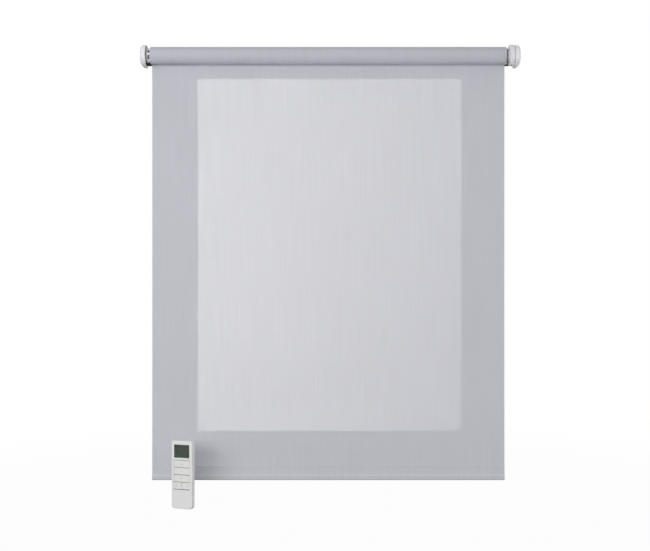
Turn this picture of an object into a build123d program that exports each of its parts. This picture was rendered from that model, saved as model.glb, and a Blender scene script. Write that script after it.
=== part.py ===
"""Motorized roller blind with its handset.

The origin is the centre of the four wall holes. +X runs to the motor end, +Y into
the wall and +Z up. The wall is the plane y = 0 and the roller's axis is at z = 0.
The blind stands fully lowered. All sizes are millimetres.
"""

from build123d import *
from math import acos, cos, pi, radians, sin, sqrt, tan
import os

# The blind as a whole
BLIND_WIDTH = 800.0
CLOTH_TO_LEFT_END = 21.0
CLOTH_TO_RIGHT_END = 29.0
WALL_TO_AXIS = 30.0
DROP = 900.0
CLOTH_LENGTH = 1800.0
CLOTH_THICKNESS = 0.38

# Brackets and their covers
PLATE_THICKNESS = 2.0
COVER_RADIUS = 22.0
COVER_DEPTH = 11.0
COVER_WALL = 1.6
COVER_EDGE = 6.0
COVER_RIM = 1.0
COVER_RIB = 1.4
COVER_RIB_DEPTH = 5.0
WALL_HOLE_RADIUS = 2.25
WALL_HOLE_SPACING = 22.0
WALL_HOLE_FROM_END = 25.0
FLANGE_REACH = 8.0
FLANGE_HEIGHT = 34.0
FLANGE_CORNER = 4.0
ADAPTER_RADIUS = 15.0
ADAPTER_FLANGE = 1.5
ADAPTER_BOSS_RADIUS = 10.0
ADAPTER_BOSS_LENGTH = 5.0
ADAPTER_FLOOR = 1.2
ADAPTER_EDGE = 0.5
ADAPTER_SLOT_LENGTH = 3.0
ADAPTER_SLOT_WIDTH = 1.6

# Roller tube
TUBE_RADIUS = 14.0
TUBE_WALL = 1.0
RIB_HEIGHT = 1.6
RIB_WIDTH = 2.4
CHANNEL_WIDTH = 5.0
SPLINE_WIDTH = 3.2
SPLINE_THICKNESS = 1.0
SPLINE_DEPTH = 0.7
SPLINE_SLOT = 1.6

# Idle end
PLUG_LENGTH = 45.0
FLANGE_PROUD = 1.5
FLANGE_EDGE = 0.8
HUB_LENGTH = 7.5
HUB_DISC = 2.2
HUB_SHOULDER = 1.0
HUB_CORE_RADIUS = 9.5
HUB_RIBS = 6
HUB_RIB_WIDTH = 4.5
HUB_RIB_TURN = 55.0
PIN_RADIUS = 4.0
PIN_POINT = 1.0
PIN_TAIL_RADIUS = 2.4
PIN_TAIL_LENGTH = 10.0
PIN_COLLAR_RADIUS = 6.6
PIN_COLLAR = 3.0
SPRING_WIRE = 1.0
SPRING_TURNS = 5
SPRING_WIRE_SIDES = 4
CHAMBER_RADIUS = 7.0
CHAMBER_FROM_TUBE_END = 5.0
RETAINER = 2.0
RETAINER_INSET = 2.0

# Motor
HOUSING_WALL = 0.8
HOUSING_TO_RIBS = 0.4
HEAD_RADIUS = 22.6
HEAD_WIDTH = 10.6
HEAD_FLAT = 2.0
HEAD_EDGE = 1.2
HEAD_COLLAR = 2.0
HEAD_COLLAR_WALL = 2.0
HEAD_SPIGOT = 11.6
DRIVE_SQUARE = 11.0
SQUARE_PAST_CLIP = 0.8
CLIP_GROOVE = 1.0
CLIP_RADIUS = 8.5
CLIP_THICKNESS = 0.9
PORT_WIDTH = 9.0
PORT_HEIGHT = 3.2
PORT_DEPTH = 7.0
PORT_SHELL = 0.4
PORT_BACK = 1.0
PORT_TONGUE_WIDTH = 6.6
PORT_TONGUE = 0.7
PORT_FROM_AXIS = -3.0
SET_BUTTON_RADIUS = 1.9
SET_BUTTON_TRAVEL = 0.6
SET_BUTTON_PROUD = 0.3
SET_BUTTON_BORE = 5.0
SET_BUTTON_EDGE = 0.3
BUTTON_FROM_AXIS = 4.6
INNER_GAP = 3.0
BOARD_GAP = 2.0
BOARD_LENGTH = 72.0
BOARD_THICKNESS = 1.6
CELL_COUNT = 3
CELL_LENGTH = 65.0
CELL_BUTTON = 1.0
CELL_GAP = 1.0
SLEEVE_WALL = 0.8
SLEEVE_PAST_CELLS = 1.5
MOTOR_LENGTH = 34.0
MOTOR_EDGE = 0.8
MOTOR_NOSE_RADIUS = 3.5
MOTOR_NOSE = 0.3
MOTOR_BORE_DEPTH = 7.0
MOTOR_SHAFT_RADIUS = 1.0
MOTOR_SHAFT_INSIDE = 6.0
TERMINAL_WIDTH = 2.4
TERMINAL_THICKNESS = 0.6
TERMINAL_LENGTH = 1.2
TERMINAL_FROM_AXIS = 6.0
BEARING_LENGTH = 5.0
CAP_FLANGE = 2.0
CAP_EDGE = 0.6
CAP_GAP = 0.2
CAP_SPIGOT = 3.0
SHAFT_RADIUS = 4.0
SHAFT_HEX = 3.5
SHAFT_GROOVE_RADIUS = 2.8
SHAFT_PAST_CLIP = 1.0
DRIVE_WHEEL_LENGTH = 15.0
DRIVE_WHEEL_GAP = 0.5
WHEEL_WINDOWS = 6
WHEEL_WINDOW = 3.4
WHEEL_WINDOW_RADIUS = 8.2
DRIVE_CLIP_WALL = 1.8
CROWN_FLANGE = 3.0
CROWN_SLEEVE = 12.0

# Planetary reduction, three stages alike
SUN_TEETH = 12
PLANET_TEETH = 15
RING_TEETH = SUN_TEETH + 2 * PLANET_TEETH
STAGES = 3
PLANETS = 3
PRESSURE_ANGLE = 25.0
ADDENDUM = 0.9
DEDENDUM = 1.25
FLANK_SLACK = 0.035
RING_WALL = 1.25
GEAR_WIDTH = 4.5
GEAR_SIDE_GAP = 0.4
CARRIER_PLATE = 1.8
CARRIER_MARGIN = 1.5
PLANET_PIN_RADIUS = 0.7
END_PLAY = 0.3

# Hem
HEM_POCKET_HEIGHT = 31.0
HEM_BAR_HEIGHT = 11.0
HEM_BAR_THICKNESS = 5.0
HEM_BAR_WALL = 0.8
HEM_CAP = 5.0
HEM_CAP_EDGE = 0.8
HEM_CAP_TONGUE = 10.0
CLOTH_SEAM = 0.2

# Handset
HANDSET_WIDTH = 48.0
HANDSET_HEIGHT = 140.0
HANDSET_CORNER = 7.0
HANDSET_EDGE = 1.4
HANDSET_WALL = 1.5
HANDSET_SPLIT = 6.5
HANDSET_X = -306.0
HANDSET_Y = -96.0
HANDSET_BELOW_HEM = 45.0
HANDSET_YAW = -22.0
WINDOW_WIDTH = 35.0
WINDOW_HEIGHT = 27.0
WINDOW_FROM_TOP = 8.0
WINDOW_CORNER = 1.0
WINDOW_LENS = 0.8
WINDOW_LAND = 0.6
DISPLAY_MARGIN = 0.5
KEY_ROWS_FROM_TOP = 40.0
KEY_PITCH = 15.0
KEY_WIDTH = 36.0
KEY_GROOVE = 1.0
KEY_SIDE_GAP = 0.3
KEY_EDGE = 0.3
KEY_DIVIDER = 0.6
KEY_LIP = 1.2
KEY_LIP_THICKNESS = 0.7
KEY_PLUNGER_RADIUS = 2.5
KEY_TRAVEL = 0.5
MAT_THICKNESS = 0.6
DOME_RADIUS = 3.2
DOME_HEIGHT = 0.8
MAT_MARGIN = 1.0
HANDSET_BOARD = 1.2
COIN_RADIUS = 10.0
COIN_THICKNESS = 3.2
COIN_STEP = 0.6
COIN_EDGE = 0.3
COIN_ROOM = 0.5
COIN_FROM_TOP = 119.0
CONTACT_THICKNESS = 0.3
CONTACT_WIDTH = 6.0
CONTACT_LENGTH = 14.0
CONTACT_FOOT = 2.5
DOOR_WIDTH = 30.0
DOOR_HEIGHT = 28.0
HOOK_INNER_RADIUS = 1.9
HOOK_OUTER_RADIUS = 2.9
HOOK_WIDTH = 4.0
HOOK_REACH_ANGLE = 30.0
CATCH_WIDTH = 8.0
CATCH_DEPTH = 1.1
CATCH_HEIGHT = 1.2
GRIP_LINES = 4
GRIP_WIDTH = 10.0
GRIP_PITCH = 1.6
GRIP_DEPTH = 0.4
SCREW_INSET = 7.0
SCREW_FROM_END = 5.0
BOSS_RADIUS = 2.0
BOSS_WALL = 1.0
SCREW_HEAD_RADIUS = 1.8
SCREW_HEAD = 1.2
SCREW_RADIUS = 0.8
SCREW_LENGTH = 6.5

# Clearances
FIT = 0.05
PLUG_FIT = 0.1
NOTCH_ROOM = 0.25
SLIDING = 0.15
RUNNING = 0.3
CLEAR = 0.4

# Places along the roller, worked out from the sizes above
LEFT_END = -BLIND_WIDTH / 2
RIGHT_END = BLIND_WIDTH / 2
CLOTH_LEFT = LEFT_END + CLOTH_TO_LEFT_END
CLOTH_RIGHT = RIGHT_END - CLOTH_TO_RIGHT_END
PLATE_FACE = RIGHT_END - COVER_DEPTH + COVER_RIM
ROLL_RADIUS = sqrt(TUBE_RADIUS**2 + (CLOTH_LENGTH - DROP) * CLOTH_THICKNESS / pi)
CLOTH_Y = ROLL_RADIUS + RUNNING + CLOTH_THICKNESS / 2
FLANGE_RADIUS = TUBE_RADIUS + FLANGE_PROUD
TUBE_BORE = TUBE_RADIUS - TUBE_WALL
HOUSING_RADIUS = TUBE_BORE - RIB_HEIGHT - HOUSING_TO_RIBS
HOUSING_BORE = HOUSING_RADIUS - HOUSING_WALL
HEAD_RIGHT = PLATE_FACE - ADAPTER_FLANGE - RUNNING
HEAD_LEFT = HEAD_RIGHT - HEAD_WIDTH
FLAT_Z = -HEAD_RADIUS + HEAD_FLAT
PANEL_LENGTH = DROP - HEM_POCKET_HEIGHT - CLOTH_SEAM
HEM_BAR_Z = -DROP + CLOTH_THICKNESS + PLUG_FIT + HEM_BAR_HEIGHT / 2

# Places along the motor, from its head to the drive wheel
BOARD_RIGHT = HEAD_LEFT - HEAD_SPIGOT - BOARD_GAP
CELLS_RIGHT = BOARD_RIGHT - BOARD_LENGTH - INNER_GAP
CELL_STEP = CELL_LENGTH + CELL_GAP
CELLS_LEFT = CELLS_RIGHT - CELL_COUNT * CELL_STEP + CELL_GAP
MOTOR_RIGHT = CELLS_LEFT - INNER_GAP
MOTOR_LEFT = MOTOR_RIGHT - MOTOR_LENGTH
STAGE_LENGTH = 2 * GEAR_SIDE_GAP + GEAR_WIDTH + CARRIER_PLATE + END_PLAY
FIRST_STAGE = MOTOR_LEFT - MOTOR_NOSE - CAP_GAP
BEARING_RIGHT = FIRST_STAGE - STAGES * STAGE_LENGTH
HOUSING_LEFT = BEARING_RIGHT - BEARING_LENGTH - CAP_SPIGOT - CAP_GAP
WHEEL_RIGHT = HOUSING_LEFT - CAP_FLANGE - DRIVE_WHEEL_GAP
WHEEL_LEFT = WHEEL_RIGHT - DRIVE_WHEEL_LENGTH

# Gear sizes
MODULE = (HOUSING_BORE - FIT - RING_WALL) / (RING_TEETH / 2 + DEDENDUM)
PLANET_ORBIT = MODULE * (SUN_TEETH + PLANET_TEETH) / 2
CARRIER_RADIUS = PLANET_ORBIT + PLANET_PIN_RADIUS + CARRIER_MARGIN

# Depths in the handset, from its face to its back
HANDSET_THICKNESS = HANDSET_SPLIT + CONTACT_THICKNESS + COIN_THICKNESS + COIN_ROOM + HANDSET_WALL
BOARD_FACE = HANDSET_SPLIT - HANDSET_BOARD
MAT_FACE = BOARD_FACE - MAT_THICKNESS
LIP_FACE = HANDSET_WALL + FIT
PLUNGER_END = MAT_FACE - DOME_HEIGHT - KEY_TRAVEL - PLUG_FIT
SCREW_SEAT = HANDSET_THICKNESS - SCREW_HEAD - CLEAR
BOARD_BACK = HANDSET_SPLIT
COIN_FACE = BOARD_BACK + CONTACT_THICKNESS
DOOR_FACE = HANDSET_THICKNESS - HANDSET_WALL
COIN_Z = HANDSET_HEIGHT - COIN_FROM_TOP
WINDOW_Z = HANDSET_HEIGHT - WINDOW_FROM_TOP - WINDOW_HEIGHT / 2
KEY_ZONE_HEIGHT = 4 * KEY_PITCH + KEY_GROOVE
KEY_ZONE_Z = HANDSET_HEIGHT - KEY_ROWS_FROM_TOP - 2 * KEY_PITCH
HANDSET_PLACE = Pos(HANDSET_X, HANDSET_Y, -DROP - HANDSET_BELOW_HEM) * Rot(0, 0, HANDSET_YAW)


def across(x):
    """The plane square to the roller at x, drawn about its axis: towards the wall, then up."""
    return Plane(origin=(x, -WALL_TO_AXIS, 0), x_dir=(0, 1, 0), z_dir=(1, 0, 0))


def prism(section, start, end):
    """A section run along the roller from start to end."""
    return extrude(across(start) * section, end - start)


def ring(radius, bore):
    """A flat ring."""
    return Circle(radius) - Circle(bore)


def spread(item, count, radius=0.0, turn=0.0):
    """Copies of a sketch on a circle about the roller axis, the first one towards the wall."""
    return [Rot(0, 0, turn + 360 * i / count) * Pos(radius, 0) * item for i in range(count)]


def box_between(low, high):
    """A box from its lowest to its highest corner."""
    size = [b - a for a, b in zip(low, high)]
    return Pos(*low) * Box(*size, align=(Align.MIN,) * 3)


def mirrored(piece):
    """The same piece for the other end."""
    return mirror(piece, about=Plane.YZ)


# Brackets

def bracket_outline(radius, back):
    """A half round front and straight sides back to a given distance from the wall."""
    reach = WALL_TO_AXIS - back
    return Circle(radius) + Pos(reach / 2, 0) * Rectangle(reach, 2 * radius)


def bracket():
    """Steel angle of the motor end: a side plate with its window, and a flange on the wall."""
    radius = COVER_RADIUS - COVER_WALL - FIT
    window = Circle(ADAPTER_BOSS_RADIUS + FIT)
    plate = prism(bracket_outline(radius, 0) - window, PLATE_FACE, PLATE_FACE + PLATE_THICKNESS)
    holes_x = RIGHT_END - WALL_HOLE_FROM_END
    flange = box_between(
        (holes_x - FLANGE_REACH, -PLATE_THICKNESS, -FLANGE_HEIGHT / 2),
        (PLATE_FACE + PLATE_THICKNESS, 0, FLANGE_HEIGHT / 2),
    )
    corners = flange.edges().filter_by(Axis.Y).group_by(Axis.X)[0]
    flange = fillet(corners, FLANGE_CORNER)
    for z in (-WALL_HOLE_SPACING / 2, WALL_HOLE_SPACING / 2):
        flange -= Pos(holes_x, 0, z) * Rot(90, 0, 0) * Cylinder(WALL_HOLE_RADIUS, 3 * PLATE_THICKNESS)
    return plate + flange


def cover():
    """Moulded dish that snaps over the motor end's plate, with a wide round edge."""
    back = PLATE_THICKNESS + RUNNING
    outer = prism(bracket_outline(COVER_RADIUS, back), RIGHT_END - COVER_DEPTH, RIGHT_END)
    outer = fillet(outer.faces().sort_by(Axis.X)[-1].edges(), COVER_EDGE)
    hollow = prism(
        bracket_outline(COVER_RADIUS - COVER_WALL, back - COVER_WALL),
        RIGHT_END - COVER_DEPTH,
        RIGHT_END - COVER_WALL,
    )
    hollow = fillet(hollow.faces().sort_by(Axis.X)[-1].edges(), COVER_EDGE - COVER_WALL)
    shell = outer - hollow
    for rib in spread(Rectangle(COVER_RIB_DEPTH, COVER_RIB), 3, COVER_RADIUS - COVER_EDGE, 60):
        shell += prism(rib, PLATE_FACE + PLATE_THICKNESS + FIT, RIGHT_END - COVER_WALL / 2)
    return shell


def adapter(bore, open_end):
    """Moulded insert of a side plate, with a flange inside and a boss through the plate's window."""
    boss_end = PLATE_FACE + ADAPTER_BOSS_LENGTH
    body = prism(Circle(ADAPTER_RADIUS), PLATE_FACE - ADAPTER_FLANGE, PLATE_FACE)
    body = chamfer(body.faces().sort_by(Axis.X)[0].edges(), ADAPTER_EDGE)
    body += prism(Circle(ADAPTER_BOSS_RADIUS), PLATE_FACE, boss_end)
    slot = Rectangle(ADAPTER_SLOT_LENGTH, ADAPTER_SLOT_WIDTH)
    for item in spread(slot, 4, (ADAPTER_RADIUS + ADAPTER_BOSS_RADIUS) / 2, 45):
        body -= prism(item, PLATE_FACE - ADAPTER_FLANGE, PLATE_FACE - ADAPTER_FLANGE / 2)
    end = boss_end + 1 if open_end else boss_end - ADAPTER_FLOOR
    return body - prism(bore, PLATE_FACE - ADAPTER_FLANGE - 1, end)


def motor_socket():
    """Insert of the motor end, with the square window that holds the head against turning."""
    return adapter(Rectangle(DRIVE_SQUARE + 2 * FIT, DRIVE_SQUARE + 2 * FIT), True)


def pin_socket():
    """Insert of the idle end, with the blind hole for the pin."""
    return mirrored(adapter(Circle(PIN_RADIUS + SLIDING), False))


def motor_clip():
    """Steel C clip in the groove of the head's square, against the insert."""
    start = PLATE_FACE + ADAPTER_BOSS_LENGTH + FIT
    neck = DRIVE_SQUARE - 2 * CLIP_GROOVE + 2 * FIT
    slot = Pos(0, -CLIP_RADIUS / 2) * Rectangle(neck, neck + CLIP_RADIUS)
    return prism(Circle(CLIP_RADIUS) - slot, start, start + CLIP_THICKNESS)


# Roller

def rib_bars(height, width):
    """Radial bars at the tube's three driving ribs, from the bore's wall inwards."""
    middle = TUBE_BORE + (TUBE_WALL / 2 - height) / 2
    return spread(Rectangle(height + TUBE_WALL / 2, width), 3, middle, 60)


def channel_bar(depth, width):
    """A radial bar at the tube's spline channel, from under the tube's skin inwards."""
    return Pos(TUBE_RADIUS - TUBE_WALL / 2 - depth / 2, 0) * Rectangle(depth, width)


def roller_tube():
    """Extruded aluminium tube with three driving ribs and a channel for the cloth's spline."""
    section = ring(TUBE_RADIUS, TUBE_BORE)
    for rib in rib_bars(RIB_HEIGHT, RIB_WIDTH):
        section += rib
    section += channel_bar(RIB_HEIGHT + TUBE_WALL / 2, CHANNEL_WIDTH)
    pocket_depth = SPLINE_THICKNESS + 4 * FIT
    pocket_out = TUBE_RADIUS - SPLINE_DEPTH
    section -= Pos(pocket_out - pocket_depth / 2, 0) * Rectangle(pocket_depth, SPLINE_WIDTH + 4 * FIT)
    section -= Pos(pocket_out + SPLINE_DEPTH / 2, 0) * Rectangle(2 * SPLINE_DEPTH, SPLINE_SLOT)
    return prism(section, CLOTH_LEFT, CLOTH_RIGHT)


def fabric_spline():
    """Flat plastic strip that locks the cloth's top edge in the tube's channel."""
    middle = TUBE_RADIUS - SPLINE_DEPTH - 2 * FIT - SPLINE_THICKNESS / 2
    section = Pos(middle, 0) * Rectangle(SPLINE_THICKNESS, SPLINE_WIDTH)
    return prism(section, CLOTH_LEFT + 2.0, CLOTH_RIGHT - 2.0)


def fabric_roll():
    """The turns of cloth that stay on the tube when the blind is down."""
    return prism(ring(ROLL_RADIUS, TUBE_RADIUS + FIT), CLOTH_LEFT, CLOTH_RIGHT)


def plug_section():
    """What fills the tube's bore, notched for its ribs and its channel."""
    section = Circle(TUBE_BORE - PLUG_FIT)
    for notch in rib_bars(RIB_HEIGHT + NOTCH_ROOM, RIB_WIDTH + 2 * PLUG_FIT):
        section -= notch
    depth = RIB_HEIGHT + TUBE_WALL / 2 + NOTCH_ROOM
    return section - channel_bar(depth, CHANNEL_WIDTH + 2 * PLUG_FIT)


# Idle end

HUB_RIGHT = CLOTH_LEFT - FIT
PLUG_LEFT = HUB_RIGHT - HUB_LENGTH
CHAMBER_LEFT = CLOTH_LEFT + CHAMBER_FROM_TUBE_END
PLUG_RIGHT = CLOTH_LEFT + PLUG_LENGTH
RETAINER_RIGHT = PLUG_RIGHT - RETAINER_INSET
COLLAR_LEFT = CHAMBER_LEFT + 2 * FIT
SPRING_LEFT = COLLAR_LEFT + PIN_COLLAR + 2 * FIT
SPRING_RIGHT = RETAINER_RIGHT - RETAINER - 2 * FIT


def idle_plug():
    """Moulded plug in the tube's idle end: a ribbed hub, a bore for the pin and its chamber."""
    body = prism(Circle(FLANGE_RADIUS), PLUG_LEFT, HUB_RIGHT)
    body = chamfer(body.faces().sort_by(Axis.X)[0].edges(), FLANGE_EDGE)
    pockets = ring(FLANGE_RADIUS + 1, HUB_CORE_RADIUS)
    rib = Rectangle(2 * (FLANGE_RADIUS - HUB_CORE_RADIUS + 1), HUB_RIB_WIDTH)
    for item in spread(rib, HUB_RIBS, FLANGE_RADIUS, HUB_RIB_TURN):
        pockets -= item
    body -= prism(pockets, PLUG_LEFT + HUB_DISC, HUB_RIGHT - HUB_SHOULDER)
    body += prism(plug_section(), HUB_RIGHT, PLUG_RIGHT)
    body -= prism(Circle(PIN_RADIUS + SLIDING), PLUG_LEFT - 1, CHAMBER_LEFT + 1)
    return body - prism(Circle(CHAMBER_RADIUS), CHAMBER_LEFT, PLUG_RIGHT + 1)


def idle_pin():
    """Steel pin with a collar that stops in the plug, and a tail inside the spring."""
    tip = -(PLATE_FACE + ADAPTER_BOSS_LENGTH - ADAPTER_FLOOR) + RUNNING
    body = prism(Circle(PIN_RADIUS), tip, COLLAR_LEFT)
    body = chamfer(body.faces().sort_by(Axis.X)[0].edges(), PIN_POINT)
    body += prism(Circle(PIN_COLLAR_RADIUS), COLLAR_LEFT, COLLAR_LEFT + PIN_COLLAR)
    tail_end = SPRING_LEFT + PIN_TAIL_LENGTH
    return body + prism(Circle(PIN_TAIL_RADIUS), COLLAR_LEFT + PIN_COLLAR, tail_end)


def idle_spring():
    """Wire spring between the pin's collar and the retainer."""
    length = SPRING_RIGHT - SPRING_LEFT - SPRING_WIRE
    radius = CHAMBER_RADIUS - 2 * CLEAR - SPRING_WIRE / 2
    path = Helix(pitch=length / SPRING_TURNS, height=length, radius=radius)
    wire = Plane(origin=path @ 0, z_dir=path % 0) * RegularPolygon(SPRING_WIRE / 2, SPRING_WIRE_SIDES)
    coil = sweep(wire, path=path, is_frenet=True)
    return Pos(SPRING_LEFT + SPRING_WIRE / 2, -WALL_TO_AXIS, 0) * Rot(0, 90, 0) * coil


def spring_retainer():
    """Pressed washer that closes the plug's chamber behind the spring."""
    section = ring(CHAMBER_RADIUS - FIT, PIN_TAIL_RADIUS + CLEAR)
    return prism(section, RETAINER_RIGHT - RETAINER, RETAINER_RIGHT)


# Motor

def crown_ring():
    """Ring that runs on the motor's housing at the head and turns with the tube by its ribs."""
    left = CLOTH_RIGHT + FIT
    right = left + CROWN_FLANGE
    sleeve_left = CLOTH_RIGHT - CROWN_SLEEVE
    body = prism(Circle(FLANGE_RADIUS), left, right)
    body = chamfer(body.faces().sort_by(Axis.X)[-1].edges(), FLANGE_EDGE)
    body += prism(plug_section(), sleeve_left, left)
    return body - prism(Circle(HOUSING_RADIUS + RUNNING), sleeve_left - 1, right + 1)


def head_drum():
    """Drum of the head with a flat underneath for the charging socket and the setting button."""
    drum = prism(Circle(HEAD_RADIUS), HEAD_LEFT, HEAD_RIGHT)
    drum = fillet(drum.edges().filter_by(GeomType.CIRCLE), HEAD_EDGE)
    below = box_between(
        (HEAD_LEFT - 1, -WALL_TO_AXIS - HEAD_RADIUS, -HEAD_RADIUS - 1),
        (HEAD_RIGHT + 1, -WALL_TO_AXIS + HEAD_RADIUS, FLAT_Z),
    )
    return drum - below


def under_head(sketch, depth):
    """A shape on the flat under the head, run up into the drum."""
    middle = (HEAD_LEFT + HEAD_RIGHT) / 2
    plane = Plane(origin=(middle, -WALL_TO_AXIS, FLAT_Z), x_dir=(0, 1, 0), z_dir=(0, 0, 1))
    return extrude(plane * sketch, depth)


def port_outline(offset):
    """The oval of the charging socket."""
    width = PORT_WIDTH + 2 * offset
    height = PORT_HEIGHT + 2 * offset
    return Pos(PORT_FROM_AXIS, 0) * RectangleRounded(width, height, height / 2 - 0.01)


def motor_head():
    """Moulded head: drum, collar, spigot into the housing and the square held by the bracket."""
    clip_left = PLATE_FACE + ADAPTER_BOSS_LENGTH
    square_end = clip_left + FIT + CLIP_THICKNESS + SQUARE_PAST_CLIP
    body = head_drum()
    body += prism(Circle(HOUSING_RADIUS + HEAD_COLLAR_WALL), HEAD_LEFT - HEAD_COLLAR, HEAD_LEFT)
    body -= prism(Circle(HOUSING_RADIUS + FIT), HEAD_LEFT - HEAD_COLLAR, HEAD_LEFT)
    body += prism(Circle(HOUSING_BORE - FIT), HEAD_LEFT - HEAD_SPIGOT, HEAD_LEFT)
    square = prism(Rectangle(DRIVE_SQUARE, DRIVE_SQUARE), HEAD_RIGHT, square_end)
    neck = DRIVE_SQUARE - 2 * CLIP_GROOVE
    around = Rectangle(DRIVE_SQUARE + 2, DRIVE_SQUARE + 2) - Rectangle(neck, neck)
    body += square - prism(around, clip_left, clip_left + CLIP_THICKNESS + 2 * FIT)
    body -= under_head(port_outline(FIT), PORT_DEPTH + 1.0)
    button_bore = Pos(BUTTON_FROM_AXIS, 0) * Circle(SET_BUTTON_RADIUS + SLIDING)
    return body - under_head(button_bore, SET_BUTTON_BORE)


def charge_socket():
    """Metal shell of the charging socket with its tongue."""
    shell = under_head(port_outline(0) - port_outline(-PORT_SHELL), PORT_DEPTH)
    inner_end = PORT_DEPTH - PORT_BACK
    shell += Pos(0, 0, inner_end) * under_head(port_outline(-PORT_SHELL / 2), PORT_BACK)
    tongue = Pos(PORT_FROM_AXIS, 0) * Rectangle(PORT_TONGUE_WIDTH, PORT_TONGUE)
    return shell + Pos(0, 0, PORT_BACK) * under_head(tongue, inner_end)


def set_button():
    """Small clear setting button under the head, lit from within."""
    length = SET_BUTTON_BORE - SET_BUTTON_TRAVEL - FIT
    cap = under_head(Pos(BUTTON_FROM_AXIS, 0) * Circle(SET_BUTTON_RADIUS), length)
    cap = Pos(0, 0, -SET_BUTTON_PROUD) * cap
    return chamfer(cap.faces().sort_by(Axis.Z)[0].edges(), SET_BUTTON_EDGE)


def motor_housing():
    """Steel tube of the motor, open at both ends."""
    return prism(ring(HOUSING_RADIUS, HOUSING_BORE), HOUSING_LEFT, HEAD_LEFT)


def motor_board():
    """Radio and motor control board with its larger components."""
    width = 2 * (HOUSING_BORE - CLEAR - FIT)
    board_left = BOARD_RIGHT - BOARD_LENGTH
    half = BOARD_THICKNESS / 2
    body = box_between(
        (board_left, -WALL_TO_AXIS - width / 2, -half), (BOARD_RIGHT, -WALL_TO_AXIS + width / 2, half)
    )
    for place, length, across_board, height in (
        (8.0, 9.0, 7.0, 3.0),
        (24.0, 7.0, 7.0, 1.2),
        (38.0, 5.0, 4.0, 1.6),
        (54.0, 12.0, 9.0, 2.2),
    ):
        body += box_between(
            (board_left + place, -WALL_TO_AXIS - across_board / 2, half),
            (board_left + place + length, -WALL_TO_AXIS + across_board / 2, half + height),
        )
    return body


def battery_cells():
    """Row of round cells, each with its button end towards the head."""
    radius = HOUSING_BORE - FIT - SLEEVE_WALL - FIT
    cells = []
    for number in range(CELL_COUNT):
        left = CELLS_LEFT + number * CELL_STEP
        button_left = left + CELL_LENGTH - CELL_BUTTON
        cell = prism(Circle(radius), left, button_left)
        cells.append(cell + prism(Circle(radius / 3), button_left, left + CELL_LENGTH))
    return cells


def battery_sleeve():
    """Insulating sleeve that holds the cells in line in the housing."""
    radius = HOUSING_BORE - FIT
    left = CELLS_LEFT - SLEEVE_PAST_CELLS
    return prism(ring(radius, radius - SLEEVE_WALL), left, CELLS_RIGHT + SLEEVE_PAST_CELLS)


def dc_motor():
    """Round motor with a nose, a bore for its shaft and two terminals at the back."""
    body = prism(Circle(HOUSING_BORE - 4 * FIT), MOTOR_LEFT, MOTOR_RIGHT)
    body = chamfer(body.edges().filter_by(GeomType.CIRCLE), MOTOR_EDGE)
    body += prism(Circle(MOTOR_NOSE_RADIUS), MOTOR_LEFT - MOTOR_NOSE, MOTOR_LEFT)
    bore = Circle(MOTOR_SHAFT_RADIUS + SLIDING)
    body -= prism(bore, MOTOR_LEFT - 1, MOTOR_LEFT + MOTOR_BORE_DEPTH)
    for tab in spread(Rectangle(TERMINAL_THICKNESS, TERMINAL_WIDTH), 2, TERMINAL_FROM_AXIS):
        body += prism(tab, MOTOR_RIGHT, MOTOR_RIGHT + TERMINAL_LENGTH)
    return body


# Planetary reduction

def unwound(base, radius):
    """The angle that an involute from the base circle has turned by when it reaches a radius."""
    pressure = acos(min(base / radius, 1.0))
    return tan(pressure) - pressure


def toothed(teeth, radii, slack):
    """A toothed outline whose flanks pass through the given radii, one tooth towards the wall."""
    pitch = MODULE * teeth / 2
    base = pitch * cos(radians(PRESSURE_ANGLE))
    at_pitch = pi / (2 * teeth) - slack / pitch + unwound(base, pitch)
    flank = [(radius, at_pitch - unwound(base, radius)) for radius in radii]
    points = []
    for tooth in range(teeth):
        middle = 2 * pi * tooth / teeth
        points += [(r * cos(middle - a), r * sin(middle - a)) for r, a in flank]
        points += [(r * cos(middle + a), r * sin(middle + a)) for r, a in reversed(flank)]
    return make_face(Polyline(*points, close=True))


def outer_gear(teeth):
    """The outline of a gear with its teeth outside."""
    pitch = MODULE * teeth / 2
    radii = [pitch - DEDENDUM * MODULE, pitch + ADDENDUM * MODULE]
    return toothed(teeth, radii, FLANK_SLACK)


def stage_right(stage):
    """Where a stage begins, counted from the motor."""
    return FIRST_STAGE - stage * STAGE_LENGTH


def gear_span(stage):
    """The left and right faces of a stage's gears."""
    right = stage_right(stage) - GEAR_SIDE_GAP
    return right - GEAR_WIDTH, right


def ring_gear():
    """Toothed ring in the housing that all stages share."""
    pitch = MODULE * RING_TEETH / 2
    radii = [pitch - ADDENDUM * MODULE, pitch + DEDENDUM * MODULE]
    section = Circle(HOUSING_BORE - FIT) - toothed(RING_TEETH, radii, -FLANK_SLACK)
    return prism(section, BEARING_RIGHT + CAP_GAP, FIRST_STAGE + CAP_GAP)


def planet(stage, number):
    """One planet gear with its bore."""
    left, right = gear_span(stage)
    section = outer_gear(PLANET_TEETH) - Circle(PLANET_PIN_RADIUS + SLIDING)
    turn = Rot(0, 0, 360 * number / PLANETS)
    return prism(turn * Pos(PLANET_ORBIT, 0) * section, left, right)


def carrier_plate(stage):
    """Disc of a carrier with the three pins that its planets turn on."""
    left, right = gear_span(stage)
    plate_right = left - GEAR_SIDE_GAP
    body = prism(Circle(CARRIER_RADIUS), plate_right - CARRIER_PLATE, plate_right)
    for pin in spread(Circle(PLANET_PIN_RADIUS), PLANETS, PLANET_ORBIT):
        body += prism(pin, plate_right, right - 0.1)
    return body


def motor_pinion():
    """Motor shaft with the first sun gear on its end."""
    left, right = gear_span(0)
    shaft = prism(Circle(MOTOR_SHAFT_RADIUS), right, MOTOR_LEFT + MOTOR_SHAFT_INSIDE)
    return prism(outer_gear(SUN_TEETH), left, right) + shaft


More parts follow.
